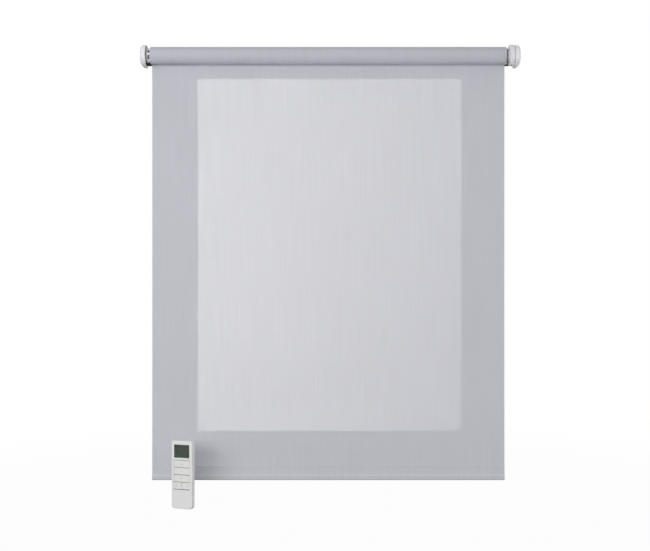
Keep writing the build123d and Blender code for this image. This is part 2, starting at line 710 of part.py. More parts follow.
def carrier(stage):
    """Carrier of a stage with the next stage's sun gear in one piece."""
    left, right = gear_span(stage + 1)
    plate_left = gear_span(stage)[0] - GEAR_SIDE_GAP - CARRIER_PLATE
    return carrier_plate(stage) + prism(outer_gear(SUN_TEETH), left, plate_left)


def hexagon(inscribed):
    """Six sides about a circle."""
    return RegularPolygon(inscribed * 2 / sqrt(3), 6)


def output_shaft():
    """Last carrier with the output shaft: round in the bearing, six sided in the drive wheel."""
    round_end = HOUSING_LEFT - CAP_FLANGE
    body = carrier_plate(STAGES - 1)
    body += prism(Circle(SHAFT_RADIUS), round_end, BEARING_RIGHT + END_PLAY)
    end = WHEEL_LEFT - FIT - CLIP_THICKNESS - SHAFT_PAST_CLIP
    body += prism(hexagon(SHAFT_HEX), end, round_end)
    groove = ring(SHAFT_RADIUS + 1, SHAFT_GROOVE_RADIUS)
    return body - prism(groove, WHEEL_LEFT - 2 * FIT - CLIP_THICKNESS, WHEEL_LEFT)


def output_bearing():
    """Bearing of the output shaft in the housing."""
    section = ring(HOUSING_BORE - FIT, SHAFT_RADIUS + 2 * FIT)
    return prism(section, BEARING_RIGHT - BEARING_LENGTH, BEARING_RIGHT)


def motor_end_cap():
    """Cap that closes the housing round the output shaft."""
    body = prism(Circle(HOUSING_RADIUS), HOUSING_LEFT - CAP_FLANGE, HOUSING_LEFT)
    body = chamfer(body.faces().sort_by(Axis.X)[0].edges(), CAP_EDGE)
    body += prism(Circle(HOUSING_BORE - FIT), HOUSING_LEFT, HOUSING_LEFT + CAP_SPIGOT)
    bore = Circle(SHAFT_RADIUS + CLEAR)
    return body - prism(bore, HOUSING_LEFT - CAP_FLANGE - 1, HOUSING_LEFT + CAP_SPIGOT + 1)


def drive_wheel():
    """Moulded wheel on the output shaft that turns the tube by its ribs."""
    section = plug_section() - hexagon(SHAFT_HEX + FIT)
    window = Rectangle(WHEEL_WINDOW, WHEEL_WINDOW)
    for item in spread(window, WHEEL_WINDOWS, WHEEL_WINDOW_RADIUS, 180 / WHEEL_WINDOWS):
        section -= item
    return prism(section, WHEEL_LEFT, WHEEL_RIGHT)


def drive_clip():
    """Steel C clip that holds the drive wheel on its shaft."""
    neck = SHAFT_GROOVE_RADIUS + FIT
    slot = Pos(0, -SHAFT_RADIUS) * Rectangle(1.6 * neck, 2 * SHAFT_RADIUS)
    section = ring(SHAFT_RADIUS + DRIVE_CLIP_WALL, neck) - slot
    return prism(section, WHEEL_LEFT - FIT - CLIP_THICKNESS, WHEEL_LEFT - FIT)


# Cloth and hem

def fabric_panel():
    """The cloth between the roller and the hem pocket."""
    section = Pos(CLOTH_Y, -PANEL_LENGTH / 2) * Rectangle(CLOTH_THICKNESS, PANEL_LENGTH)
    return prism(section, CLOTH_LEFT, CLOTH_RIGHT)


def oval(offset):
    """The flat oval of the hem bar, grown by an offset."""
    width = HEM_BAR_THICKNESS + 2 * offset
    height = HEM_BAR_HEIGHT + 2 * offset
    return Pos(CLOTH_Y, HEM_BAR_Z) * RectangleRounded(width, height, width / 2 - 0.01)


def hem_pocket():
    """Two layers of cloth welded together at the top, with a loop below for the bar."""
    strip_bottom = HEM_BAR_Z + HEM_BAR_HEIGHT / 2
    strip_height = -PANEL_LENGTH - CLOTH_SEAM - strip_bottom
    middle = strip_bottom + strip_height / 2
    section = Pos(CLOTH_Y, middle) * Rectangle(2 * CLOTH_THICKNESS, strip_height)
    section += oval(PLUG_FIT + CLOTH_THICKNESS)
    return prism(section - oval(PLUG_FIT), CLOTH_LEFT, CLOTH_RIGHT)


def hem_bar():
    """Hollow aluminium bar in the hem."""
    return prism(oval(0) - oval(-HEM_BAR_WALL), CLOTH_LEFT + HEM_CAP, CLOTH_RIGHT - HEM_CAP)


def hem_end_caps():
    """Two moulded plugs that close the ends of the bar and of its pocket."""
    caps = []
    for outside, inside in ((CLOTH_LEFT, 1), (CLOTH_RIGHT, -1)):
        shoulder = outside + inside * (HEM_CAP - FIT)
        tongue = shoulder + inside * HEM_CAP_TONGUE
        cap = prism(oval(0), min(outside, shoulder), max(outside, shoulder))
        face = cap.faces().sort_by(Axis.X)[0 if inside > 0 else -1]
        cap = chamfer(face.edges(), HEM_CAP_EDGE)
        caps.append(cap + prism(oval(-HEM_BAR_WALL - FIT), min(shoulder, tongue), max(shoulder, tongue)))
    return caps


# Handset

def slab(shape, front, back):
    """A shape seen on the handset's face, run from one depth behind the face to another."""
    plane = Plane(origin=(0, back, 0), x_dir=(1, 0, 0), z_dir=(0, -1, 0))
    return extrude(plane * shape, back - front)


def handset_outline(inset):
    """The handset's outline, standing on its lower end."""
    corner = HANDSET_CORNER - inset
    width = HANDSET_WIDTH - 2 * inset
    return Pos(0, HANDSET_HEIGHT / 2) * RectangleRounded(width, HANDSET_HEIGHT - 2 * inset, corner)


def screw_places():
    """The four screws' places on the face."""
    across_face = HANDSET_WIDTH / 2 - SCREW_INSET
    return [
        (x, z)
        for x in (-across_face, across_face)
        for z in (SCREW_FROM_END, HANDSET_HEIGHT - SCREW_FROM_END)
    ]


def front_shell():
    """Front half of the case, with the window's and the keys' openings and four bosses."""
    body = slab(handset_outline(0), 0, HANDSET_SPLIT)
    body = fillet(body.faces().sort_by(Axis.Y)[0].edges(), HANDSET_EDGE)
    body -= slab(handset_outline(HANDSET_WALL), HANDSET_WALL, HANDSET_SPLIT)
    window = RectangleRounded(WINDOW_WIDTH, WINDOW_HEIGHT, WINDOW_CORNER)
    body -= slab(Pos(0, WINDOW_Z) * window, 0, HANDSET_WALL)
    keys = Rectangle(KEY_WIDTH + 2 * KEY_SIDE_GAP, KEY_ZONE_HEIGHT)
    body -= slab(Pos(0, KEY_ZONE_Z) * keys, 0, HANDSET_WALL)
    for x, z in screw_places():
        boss = ring(BOSS_RADIUS, SCREW_RADIUS + FIT)
        body += slab(Pos(x, z) * boss, HANDSET_WALL, HANDSET_SPLIT)
    return body


def back_shell():
    """Back half of the case, with the battery opening and the screws' counterbored bosses."""
    body = slab(handset_outline(0), HANDSET_SPLIT, HANDSET_THICKNESS)
    body = fillet(body.faces().sort_by(Axis.Y)[-1].edges(), HANDSET_EDGE)
    body -= slab(handset_outline(HANDSET_WALL), HANDSET_SPLIT, DOOR_FACE)
    opening = Pos(0, COIN_Z) * Rectangle(DOOR_WIDTH, DOOR_HEIGHT)
    body -= slab(opening, DOOR_FACE, HANDSET_THICKNESS)
    for x, z in screw_places():
        body += slab(Pos(x, z) * Circle(SCREW_HEAD_RADIUS + BOSS_WALL), HANDSET_SPLIT, DOOR_FACE)
        body -= slab(Pos(x, z) * Circle(SCREW_RADIUS + SLIDING), HANDSET_SPLIT, HANDSET_THICKNESS)
        head_room = Circle(SCREW_HEAD_RADIUS + SLIDING)
        body -= slab(Pos(x, z) * head_room, SCREW_SEAT, HANDSET_THICKNESS)
    return body


def case_screws():
    """The four small screws that hold the case together."""
    screws = []
    for x, z in screw_places():
        head = slab(Pos(x, z) * Circle(SCREW_HEAD_RADIUS), SCREW_SEAT, SCREW_SEAT + SCREW_HEAD)
        shank = slab(Pos(x, z) * Circle(SCREW_RADIUS), SCREW_SEAT - SCREW_LENGTH, SCREW_SEAT)
        screws.append(head + shank)
    return screws


def window_lens():
    """Clear window glued behind the face."""
    width = WINDOW_WIDTH + 2 * WINDOW_LAND
    lens = Pos(0, WINDOW_Z) * Rectangle(width, WINDOW_HEIGHT + 2 * WINDOW_LAND)
    return slab(lens, HANDSET_WALL, HANDSET_WALL + WINDOW_LENS)


def display():
    """Liquid crystal display between the window and the board."""
    width = WINDOW_WIDTH - 2 * DISPLAY_MARGIN
    glass = Pos(0, WINDOW_Z) * Rectangle(width, WINDOW_HEIGHT - 2 * DISPLAY_MARGIN)
    return slab(glass, HANDSET_WALL + WINDOW_LENS + FIT, BOARD_FACE)


def handset_board():
    """The handset's board, its corners cut away round the bosses."""
    margin = HANDSET_WALL + CLEAR
    width = HANDSET_WIDTH - 2 * margin
    height = HANDSET_HEIGHT - 2 * margin
    boss_room = SCREW_HEAD_RADIUS + BOSS_WALL + CLEAR
    cut = Rectangle(2 * (SCREW_INSET + boss_room), 2 * (SCREW_FROM_END + boss_room))
    outline = Rectangle(width, height)
    for corner in GridLocations(HANDSET_WIDTH, HANDSET_HEIGHT, 2, 2):
        outline -= corner * cut
    return slab(Pos(0, HANDSET_HEIGHT / 2) * outline, BOARD_FACE, HANDSET_SPLIT)


def key_places():
    """Each key's name, its middle on the face and its width."""
    half = (KEY_WIDTH - KEY_DIVIDER) / 2
    side = (half + KEY_DIVIDER) / 2
    top = KEY_ZONE_Z + 1.5 * KEY_PITCH
    return {
        "up_key": (0, top, KEY_WIDTH),
        "stop_key": (0, top - KEY_PITCH, KEY_WIDTH),
        "down_key": (0, top - 2 * KEY_PITCH, KEY_WIDTH),
        "left_key": (-side, top - 3 * KEY_PITCH, half),
        "right_key": (side, top - 3 * KEY_PITCH, half),
    }


def keypad_mat():
    """Rubber mat on the board with a dome behind each key."""
    width = KEY_WIDTH + 2 * MAT_MARGIN
    sheet = Pos(0, KEY_ZONE_Z) * Rectangle(width, KEY_ZONE_HEIGHT - 2 * MAT_MARGIN)
    body = slab(sheet, MAT_FACE, BOARD_FACE)
    for x, z, _ in key_places().values():
        body += slab(Pos(x, z) * Circle(DOME_RADIUS), MAT_FACE - DOME_HEIGHT, MAT_FACE)
    return body


def key(x, z, width):
    """Flush key with a lip behind the case at its outer ends and a plunger over its dome."""
    height = KEY_PITCH - KEY_GROOVE
    cap = slab(Pos(x, z) * Rectangle(width, height), 0, LIP_FACE)
    cap = chamfer(cap.faces().sort_by(Axis.Y)[0].edges(), KEY_EDGE)
    left = x - width / 2 - (KEY_LIP if x <= 0 else 0)
    right = x + width / 2 + (KEY_LIP if x >= 0 else 0)
    lip = Pos((left + right) / 2, z) * Rectangle(right - left, height - 1.0)
    cap += slab(lip, LIP_FACE, LIP_FACE + KEY_LIP_THICKNESS)
    plunger = Pos(x, z) * Circle(KEY_PLUNGER_RADIUS)
    return cap + slab(plunger, LIP_FACE + KEY_LIP_THICKNESS, PLUNGER_END)


def coin_cell():
    """Round flat battery, its smaller side towards the board."""
    step = COIN_FACE + COIN_STEP
    body = slab(Pos(0, COIN_Z) * Circle(COIN_RADIUS), step, COIN_FACE + COIN_THICKNESS)
    body = chamfer(body.faces().sort_by(Axis.Y)[-1].edges(), COIN_EDGE)
    smaller_side = Circle(COIN_RADIUS - 2 * COIN_STEP)
    return body + slab(Pos(0, COIN_Z) * smaller_side, COIN_FACE, step)


def battery_contacts():
    """Two sprung strips: one under the battery, one against its rim."""
    under = slab(Pos(0, COIN_Z) * Rectangle(CONTACT_WIDTH, CONTACT_LENGTH), BOARD_BACK, COIN_FACE)
    rim_x = COIN_RADIUS + FIT
    low = COIN_Z - CONTACT_WIDTH / 2
    high = COIN_Z + CONTACT_WIDTH / 2
    rim_top = COIN_FACE + COIN_THICKNESS - COIN_EDGE
    rim = box_between((rim_x, BOARD_BACK, low), (rim_x + CONTACT_THICKNESS, rim_top, high))
    foot = box_between((rim_x, BOARD_BACK, low), (rim_x + CONTACT_FOOT, COIN_FACE, high))
    return [under, rim + foot]


def door_hook(x):
    """Curved hook that reaches under the case and swings out round the door's lower edge."""
    edge = Plane(origin=(x, HANDSET_THICKNESS, COIN_Z - DOOR_HEIGHT / 2), x_dir=(0, 1, 0), z_dir=(1, 0, 0))
    reach = 2 * HOOK_OUTER_RADIUS
    band = ring(HOOK_OUTER_RADIUS, HOOK_INNER_RADIUS)
    band &= Pos(-HANDSET_WALL + FIT - reach / 2, 0) * Rectangle(reach, 2 * reach)
    band &= Rot(0, 0, HOOK_REACH_ANGLE) * Pos(0, reach) * Rectangle(2 * reach, 2 * reach)
    return extrude(edge * band, HOOK_WIDTH / 2, both=True)


def battery_door():
    """Flush door with two curved hooks at its lower edge and a catch at its upper edge."""
    width = DOOR_WIDTH - 2 * SLIDING
    low = COIN_Z - DOOR_HEIGHT / 2 + SLIDING
    high = COIN_Z + DOOR_HEIGHT / 2 - SLIDING
    body = box_between((-width / 2, DOOR_FACE, low), (width / 2, HANDSET_THICKNESS, high))
    for x in (-width / 3, width / 3):
        body += door_hook(x)
    catch_top = high - CLEAR
    body += box_between(
        (-CATCH_WIDTH / 2, DOOR_FACE - CATCH_DEPTH, catch_top - CATCH_HEIGHT),
        (CATCH_WIDTH / 2, DOOR_FACE, catch_top),
    )
    for line in range(GRIP_LINES):
        z = high - (line + 2.5) * GRIP_PITCH
        groove = Pos(0, z) * Rectangle(GRIP_WIDTH, GRIP_PITCH / 2)
        body -= slab(groove, HANDSET_THICKNESS - GRIP_DEPTH, HANDSET_THICKNESS)
    return body


def pieces():
    """Every piece by its name."""
    handset = {
        "remote_front_shell": front_shell(),
        "remote_back_shell": back_shell(),
        "remote_window": window_lens(),
        "remote_display": display(),
        "remote_board": handset_board(),
        "remote_keypad": keypad_mat(),
        "remote_battery": coin_cell(),
        "battery_contacts": battery_contacts(),
        "battery_door": battery_door(),
        "remote_screws": case_screws(),
    }
    for name, (x, z, width) in key_places().items():
        handset[name] = key(x, z, width)
    blind = {
        "left_bracket": mirrored(bracket()),
        "right_bracket": bracket(),
        "left_cover": mirrored(cover()),
        "right_cover": cover(),
        "pin_socket": pin_socket(),
        "motor_socket": motor_socket(),
        "motor_clip": motor_clip(),
        "roller_tube": roller_tube(),
        "fabric_spline": fabric_spline(),
        "fabric_roll": fabric_roll(),
        "fabric_panel": fabric_panel(),
        "idle_plug": idle_plug(),
        "idle_pin": idle_pin(),
        "idle_spring": idle_spring(),
        "spring_retainer": spring_retainer(),
        "crown_ring": crown_ring(),
        "motor_head": motor_head(),
        "charge_socket": charge_socket(),
        "set_button": set_button(),
        "motor_housing": motor_housing(),
        "motor_board": motor_board(),
        "battery_cells": battery_cells(),
        "battery_sleeve": battery_sleeve(),
        "dc_motor": dc_motor(),
        "motor_pinion": motor_pinion(),
        "ring_gear": ring_gear(),
        "carrier_1": carrier(0),
        "carrier_2": carrier(1),
        "output_shaft": output_shaft(),
        "output_bearing": output_bearing(),
        "motor_end_cap": motor_end_cap(),
        "drive_wheel": drive_wheel(),
        "drive_clip": drive_clip(),
        "hem_pocket": hem_pocket(),
        "hem_bar": hem_bar(),
        "hem_end_caps": hem_end_caps(),
    }
    for stage in range(STAGES):
        for number in range(PLANETS):
            blind[f"planet_{stage + 1}_{number + 1}"] = planet(stage, number)
    for name, piece in handset.items():
        group = piece if isinstance(piece, list) else [piece]
        blind[name] = [HANDSET_PLACE * item for item in group]
    return blind


def main():
    """Write one file for each piece."""
    os.makedirs("parts", exist_ok=True)
    for name, piece in pieces().items():
        group = piece if isinstance(piece, list) else [piece]
        solids = [solid for item in group for solid in item.solids()]
        export_step(Compound(children=solids), f"parts/{name}.step")


main()
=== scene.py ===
"""Looks of the motorized roller blind and its handset.

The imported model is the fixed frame. Every piece gets its finish here, the cloth is
modelled in place of its plain solids, and the floor, the lamps and the camera are set.
Lengths are metres in the frame of the CAD: +X runs to the motor end, +Y into the wall
and +Z up.
"""

from __future__ import annotations

import logging
import math
from abc import ABC, abstractmethod
from dataclasses import dataclass
from enum import Enum
from typing import Callable, Mapping, Sequence, Union

import bpy
from mathutils import Matrix, Vector

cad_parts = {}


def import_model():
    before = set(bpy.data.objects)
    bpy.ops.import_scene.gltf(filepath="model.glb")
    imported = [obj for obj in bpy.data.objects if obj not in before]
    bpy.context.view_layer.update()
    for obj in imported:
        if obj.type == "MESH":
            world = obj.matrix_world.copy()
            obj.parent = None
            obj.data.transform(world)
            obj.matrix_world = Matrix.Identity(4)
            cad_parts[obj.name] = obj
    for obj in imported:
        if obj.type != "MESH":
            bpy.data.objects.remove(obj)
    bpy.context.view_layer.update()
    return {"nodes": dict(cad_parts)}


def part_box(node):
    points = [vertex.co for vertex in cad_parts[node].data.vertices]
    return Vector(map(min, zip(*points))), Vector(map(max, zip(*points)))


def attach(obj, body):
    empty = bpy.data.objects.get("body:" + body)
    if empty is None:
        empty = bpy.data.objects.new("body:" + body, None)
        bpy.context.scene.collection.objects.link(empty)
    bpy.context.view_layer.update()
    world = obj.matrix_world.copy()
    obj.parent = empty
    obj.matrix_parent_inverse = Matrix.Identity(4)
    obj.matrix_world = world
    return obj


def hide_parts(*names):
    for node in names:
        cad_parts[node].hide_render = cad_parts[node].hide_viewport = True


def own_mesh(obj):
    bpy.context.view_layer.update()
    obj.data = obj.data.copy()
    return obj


LOG = logging.getLogger("roller_blind")
MM = 0.001
QUARTER_TURN = math.radians(90)
WHITE = (1.0, 1.0, 1.0, 1.0)
# The roller's axis and the middle of the hanging cloth.
AXIS_Y = -30 * MM
CLOTH_Y = -12.05 * MM
# The attribute that holds where each point lies on the flat cloth.
LAY = "lay"
# Edges that turn by less than this are shaded smooth.
SMOOTH_UP_TO = math.radians(35)
# The sockets of a Mix node for its two colours and its result.
MIX_LOW, MIX_HIGH, MIX_RESULT = 6, 7, 2

Piece = bpy.types.Object
Tree = bpy.types.GeometryNodeTree
Pair = tuple[float, float]
Colour = tuple[float, float, float]
Point = tuple[float, float, float]
Number = Union[float, "Signal"]
Outline = list[Pair]
Inputs = Union[Mapping[Union[str, int], object], Sequence[object]]


class Signal:
    """A socket of a node tree, with arithmetic that adds Math nodes."""

    def __init__(self, maker: NodeMaker, socket: bpy.types.NodeSocket) -> None:
        """Wraps a socket of the tree that the maker fills."""
        self.maker = maker
        self.socket = socket

    def __add__(self, other: Number) -> Signal:
        """This plus other."""
        return self.maker.math("ADD", self, other)

    __radd__ = __add__

    def __sub__(self, other: Number) -> Signal:
        """This less other."""
        return self.maker.math("SUBTRACT", self, other)

    def __rsub__(self, other: Number) -> Signal:
        """Other less this."""
        return self.maker.math("SUBTRACT", other, self)

    def __mul__(self, other: Number) -> Signal:
        """This times other."""
        return self.maker.math("MULTIPLY", self, other)

    __rmul__ = __mul__

    def __truediv__(self, other: Number) -> Signal:
        """This over other."""
        return self.maker.math("DIVIDE", self, other)

    def sine(self) -> Signal:
        """The sine of this angle in radians."""
        return self.maker.math("SINE", self)

    def root(self) -> Signal:
        """The square root of this."""
        return self.maker.math("SQRT", self)

    def clamped(self) -> Signal:
        """This, kept from 0 to 1."""
        return self.maker.math("MINIMUM", self.maker.math("MAXIMUM", self, 0.0), 1.0)

    def above(self, edge: Number) -> Signal:
        """1 where this is more than the edge, and 0 elsewhere."""
        return self.maker.math("GREATER_THAN", self, edge)


class NodeMaker:
    """Adds nodes to one shader or geometry tree."""

    def __init__(self, tree: bpy.types.NodeTree) -> None:
        """Takes the tree to fill."""
        self.tree = tree

    @classmethod
    def of(
        cls, owner: bpy.types.Material | bpy.types.World | bpy.types.Light
    ) -> NodeMaker:
        """The maker of a material's, world's or lamp's own nodes.

        Args:
            owner: The material, world or lamp, whose tree is emptied first.

        Returns:
            The maker of its nodes.
        """
        owner.use_nodes = True
        owner.node_tree.nodes.clear()
        return cls(owner.node_tree)

    def node(
        self, kind: str, inputs: Inputs = (), **settings: object
    ) -> bpy.types.Node:
        """Adds a node, sets its settings, and then gives its sockets values or links.

        Args:
            kind: The node's type name.
            inputs: Values or signals by the socket's name or number.
            **settings: The node's properties by name.

        Returns:
            The node.
        """
        made = self.tree.nodes.new(kind)
        for name, value in settings.items():
            setattr(made, name, value)
        pairs = inputs.items() if isinstance(inputs, Mapping) else enumerate(inputs)
        for key, value in pairs:
            if isinstance(value, Signal):
                self.tree.links.new(value.socket, made.inputs[key])
            else:
                made.inputs[key].default_value = value
        return made

    def value(
        self, kind: str, inputs: Inputs = (), output: str | int = 0, **settings: object
    ) -> Signal:
        """Adds a node and returns one of its outputs."""
        return Signal(self, self.node(kind, inputs, **settings).outputs[output])

    def principled(self, inputs: Mapping[str, object]) -> Signal:
        """A Principled shader."""
        return self.value("ShaderNodeBsdfPrincipled", inputs)

    def white(self, kind: str, strength: Number) -> Signal:
        """White light from a shader node that gives light."""
        return self.value(kind, {"Color": WHITE, "Strength": strength})

    def math(self, operation: str, *operands: Number) -> Signal:
        """Adds one Math node over the operands."""
        return self.value("ShaderNodeMath", operands, operation=operation)

    def parts(self, vector: Signal) -> tuple[Signal, Signal, Signal]:
        """The three components of a vector."""
        split = self.node("ShaderNodeSeparateXYZ", [vector])
        return tuple(Signal(self, socket) for socket in split.outputs)

    def joined(self, x: Number, y: Number, z: Number) -> Signal:
        """A vector of three components."""
        return self.value("ShaderNodeCombineXYZ", [x, y, z])

    def scaled(self, vector: Signal | Colour, by: Signal | Point) -> Signal:
        """A vector or colour times one signal, or times three numbers.

        Args:
            vector: The vector or colour.
            by: One signal for all three components, or a number for each.

        Returns:
            The scaled vector.
        """
        if isinstance(by, Signal):
            inputs = {0: vector, "Scale": by}
            return self.value("ShaderNodeVectorMath", inputs, operation="SCALE")
        return self.value("ShaderNodeVectorMath", [vector, by], operation="MULTIPLY")

    def between(self, share: Signal, low: object, high: object) -> Signal:
        """A colour that goes from low to high with a share from 0 to 1."""
        inputs = {0: share, MIX_LOW: low, MIX_HIGH: high}
        return self.value("ShaderNodeMix", inputs, MIX_RESULT, data_type="RGBA")

    def place(self) -> Signal:
        """The point's own place in the object."""
        return self.value("ShaderNodeTexCoord", (), "Object")

    def radius(self, place: Signal) -> Signal:
        """How far a place lies from the roller's axis.

        Args:
            place: A point in the object.

        Returns:
            The distance, in metres.
        """
        _, y, z = self.parts(place)
        from_axis = y - AXIS_Y
        return (from_axis * from_axis + z * z).root()

    def noise(self, vector: Signal, grain: Point, detail: float = 2.0) -> Signal:
        """Soft noise about zero.

        Args:
            vector: Where the noise is read.
            grain: The grain's size along each axis, in metres.
            detail: How many finer octaves it has.

        Returns:
            A signal from about -0.5 to 0.5.
        """
        close = self.scaled(vector, tuple(1.0 / size for size in grain))
        inputs = {"Vector": close, "Scale": 1.0, "Detail": detail}
        return self.value("ShaderNodeTexNoise", inputs, "Fac") - 0.5

    def bump(self, height: Signal, depth: float) -> Signal:
        """The normal of a surface with this height, in metres of depth."""
        return self.value("ShaderNodeBump", {"Distance": depth, "Height": height})


@dataclass(frozen=True)
class Finish(ABC):
    """A surface finish, made a material once and shared."""

    name: str
    colour: Colour
    roughness: float

    def material(self) -> bpy.types.Material:
        """The finish as a material.

        Returns:
            The same material at every call.
        """
        if self not in MADE:
            MADE[self] = self.make()
        return MADE[self]

    def make(self) -> bpy.types.Material:
        """A new material with the finish's nodes.

        Returns:
            The material.
        """
        made = bpy.data.materials.new(self.name)
        maker = NodeMaker.of(made)
        maker.node("ShaderNodeOutputMaterial", {"Surface": self.surface(maker)})
        return made

    @abstractmethod
    def surface(self, maker: NodeMaker) -> Signal:
        """The shader of the finish.

        Args:
            maker: The maker of the material's nodes.

        Returns:
            The shader.
        """


MADE: dict[Finish, bpy.types.Material] = {}


@dataclass(frozen=True)
class Cloth(Finish):
    """Plain woven blind cloth, uneven in its threads and partly open to light.

    Attributes:
        thread: The pitch of the threads.
        see_through: The share of its body that lets light through.
        warp: How far a thread that hangs down stays even, across and along.
        weft: The same for a thread that runs across.
        streak: The same for the streaks that hang down.
        cloud: The same for the faint clouds.
        slub: How much the threads change the tone.
        streaks: How much the streaks do.
        mottle: How much the clouds and the weave do.
        weave_height: The weave's height to that of the uneven threads.
        relief: The depth of the bump.
        gloss: How much the weave changes the roughness.
    """

    thread: float = 0.55 * MM
    see_through: float = 0.3
    warp: Point = (0.8 * MM, 60 * MM, 1.0)
    weft: Point = (45 * MM, 0.7 * MM, 1.0)
    streak: Point = (3.5 * MM, 160 * MM, 1.0)
    cloud: Point = (120 * MM, 160 * MM, 1.0)
    slub: float = 0.05
    streaks: float = 0.08
    mottle: float = 0.03
    weave_height: float = 0.5
    relief: float = 0.06 * MM
    gloss: float = 0.04

    def surface(self, maker: NodeMaker) -> Signal:
        """Uneven threads that cross, over a matt and translucent body.

        Args:
            maker: The maker of the material's nodes.

        Returns:
            The shader.
        """
        lay = maker.value("ShaderNodeAttribute", (), "Vector", attribute_name=LAY)
        across, along, _ = maker.parts(lay)
        step = math.pi / self.thread
        weave = (across * step).sine() * (along * step).sine()
        warp = maker.noise(lay, self.warp)
        weft = maker.noise(lay, self.weft)
        streak = maker.noise(lay, self.streak)
        cloud = maker.noise(lay, self.cloud, 3.0)
        tone = 1.0 + (warp + weft) * self.slub + streak * self.streaks
        height = weave * self.weave_height + warp + weft
        tint = maker.scaled(self.colour, tone + (cloud + weave) * self.mottle)
        body = maker.principled(
            {
                "Base Color": tint,
                "Roughness": self.roughness + weave * self.gloss,
                "Specular IOR Level": 0.2,
                "Sheen Weight": 0.08,
                "Sheen Roughness": 0.6,
                "Normal": maker.bump(height, self.relief),
            }
        )
        inside = maker.value("ShaderNodeBsdfTranslucent", {"Color": tint})
        return maker.value("ShaderNodeMixShader", [self.see_through, body, inside])


@dataclass(frozen=True)
class Moulding(Finish):
    """Moulded plastic or rubber with a fine eroded grain.

    Attributes:
        grain: The size of the eroded grain.
        flow: The size of the flow clouds.
        relief: The depth of the grain.
        shine: How strong the gloss is.
        clouds: How much the clouds change the tone.
        cloud_gloss: How much the clouds change the roughness.
        grain_gloss: How much the grain does.
    """

    grain: float = 0.35 * MM
    flow: float = 35 * MM
    relief: float = 0.012 * MM
    shine: float = 0.45
    clouds: float = 0.03
    cloud_gloss: float = 0.1
    grain_gloss: float = 0.06

    def tone(self, maker: NodeMaker, place: Signal, flow: Signal) -> Signal:
        """How light the colour is at a place."""
        return flow * self.clouds + 1.0

    def surface(self, maker: NodeMaker) -> Signal:
        """Even colour with faint flow clouds, and a grain that breaks up the gloss.

        Args:
            maker: The maker of the material's nodes.

        Returns:
            The shader.
        """
        place = maker.place()
        fine = maker.noise(place, (self.grain,) * 3, 1.0)
        flow = maker.noise(place, (self.flow,) * 3, 3.0)
        gloss = self.roughness + flow * self.cloud_gloss
        return maker.principled(
            {
                "Base Color": maker.scaled(self.colour, self.tone(maker, place, flow)),
                "Roughness": gloss + fine * self.grain_gloss,
                "Specular IOR Level": self.shine,
                "Normal": maker.bump(fine, self.relief),
            }
        )


@dataclass(frozen=True)
class Hub(Moulding):
    """Moulded plastic of a ribbed hub, with shade painted into the pockets between its
    ribs.

    Attributes:
        core: The radius at the foot of the pockets.
        fade: How far above it the full tone is reached.
        dark: The tone of the painted shade at the foot.
    """

    core: float = 10.5 * MM
    fade: float = 3.0 * MM
    dark: float = 0.22

    def tone(self, maker: NodeMaker, place: Signal, flow: Signal) -> Signal:
        """Painted shade: darker towards the hub's core."""
        # Painted shade: the tone falls from full to dark down in the pockets.
        up = ((maker.radius(place) - self.core) / self.fade).clamped()
        return super().tone(maker, place, flow) * (up * (1.0 - self.dark) + self.dark)


class Lines(Enum):
    """Which way the tool marks of a metal run."""

    ALONG = "along the roller"
    ROUND = "round the roller's axis"
    NONE = "no direction"


@dataclass(frozen=True)
class Metal(Finish):
    """Bare, drawn, turned or plated metal.

    Attributes:
        lines: Which way the tool marks run.
        mark: How wide a mark is.
        mark_length: How long a mark along the roller is.
        stain: The size of the uneven places.
        relief: The depth of the marks.
        stain_tone: How much the uneven places change the tone.
        mark_tone: How much the marks do.
        stain_gloss: How much the uneven places change the roughness.
        mark_gloss: How much the marks do.
    """

    lines: Lines = Lines.NONE
    mark: float = 0.12 * MM
    mark_length: float = 60 * MM
    stain: float = 9 * MM
    relief: float = 0.006 * MM
    stain_tone: float = 0.12
    mark_tone: float = 0.08
    stain_gloss: float = 0.12
    mark_gloss: float = 0.25

    def surface(self, maker: NodeMaker) -> Signal:
        """Tool marks in the gloss and height, over a slightly uneven tone.

        Args:
            maker: The maker of the material's nodes.

        Returns:
            The shader.
        """
        place = maker.place()
        if self.lines is Lines.ALONG:
            marks = maker.noise(place, (self.mark_length, self.mark, self.mark), 3.0)
        elif self.lines is Lines.ROUND:
            x, _, _ = maker.parts(place)
            turned = maker.joined(x, maker.radius(place), 0.0)
            marks = maker.noise(turned, (self.mark, self.mark, 1.0), 3.0)
        else:
            marks = maker.noise(place, (3 * self.mark,) * 3, 4.0)
        stain = maker.noise(place, (self.stain,) * 3, 3.0)
        tone = 1.0 + stain * self.stain_tone + marks * self.mark_tone
        gloss = self.roughness + stain * self.stain_gloss
        return maker.principled(
            {
                "Base Color": maker.scaled(self.colour, tone),
                "Metallic": 1.0,
                "Roughness": gloss + marks * self.mark_gloss,
                "Normal": maker.bump(marks, self.relief),
            }
        )


@dataclass(frozen=True)
class Clear(Finish):
    """Clear polished plastic.

    Attributes:
        bend: Its index of refraction.
        cloud: The size of the haze's clouds.
        haze_tone: How much the haze changes the tone.
        haze_gloss: How much the haze changes the roughness.
    """

    bend: float = 1.49
    cloud: float = 4 * MM
    haze_tone: float = 0.02
    haze_gloss: float = 0.03

    def surface(self, maker: NodeMaker) -> Signal:
        """Clear all through, with a faint haze in its polish.

        Args:
            maker: The maker of the material's nodes.

        Returns:
            The shader.
        """
        haze = maker.noise(maker.place(), (self.cloud,) * 3)
        return maker.principled(
            {
                "Base Color": maker.scaled(self.colour, 1.0 + haze * self.haze_tone),
                "Roughness": self.roughness + haze * self.haze_gloss,
                "IOR": self.bend,
                "Transmission Weight": 1.0,
            }
        )


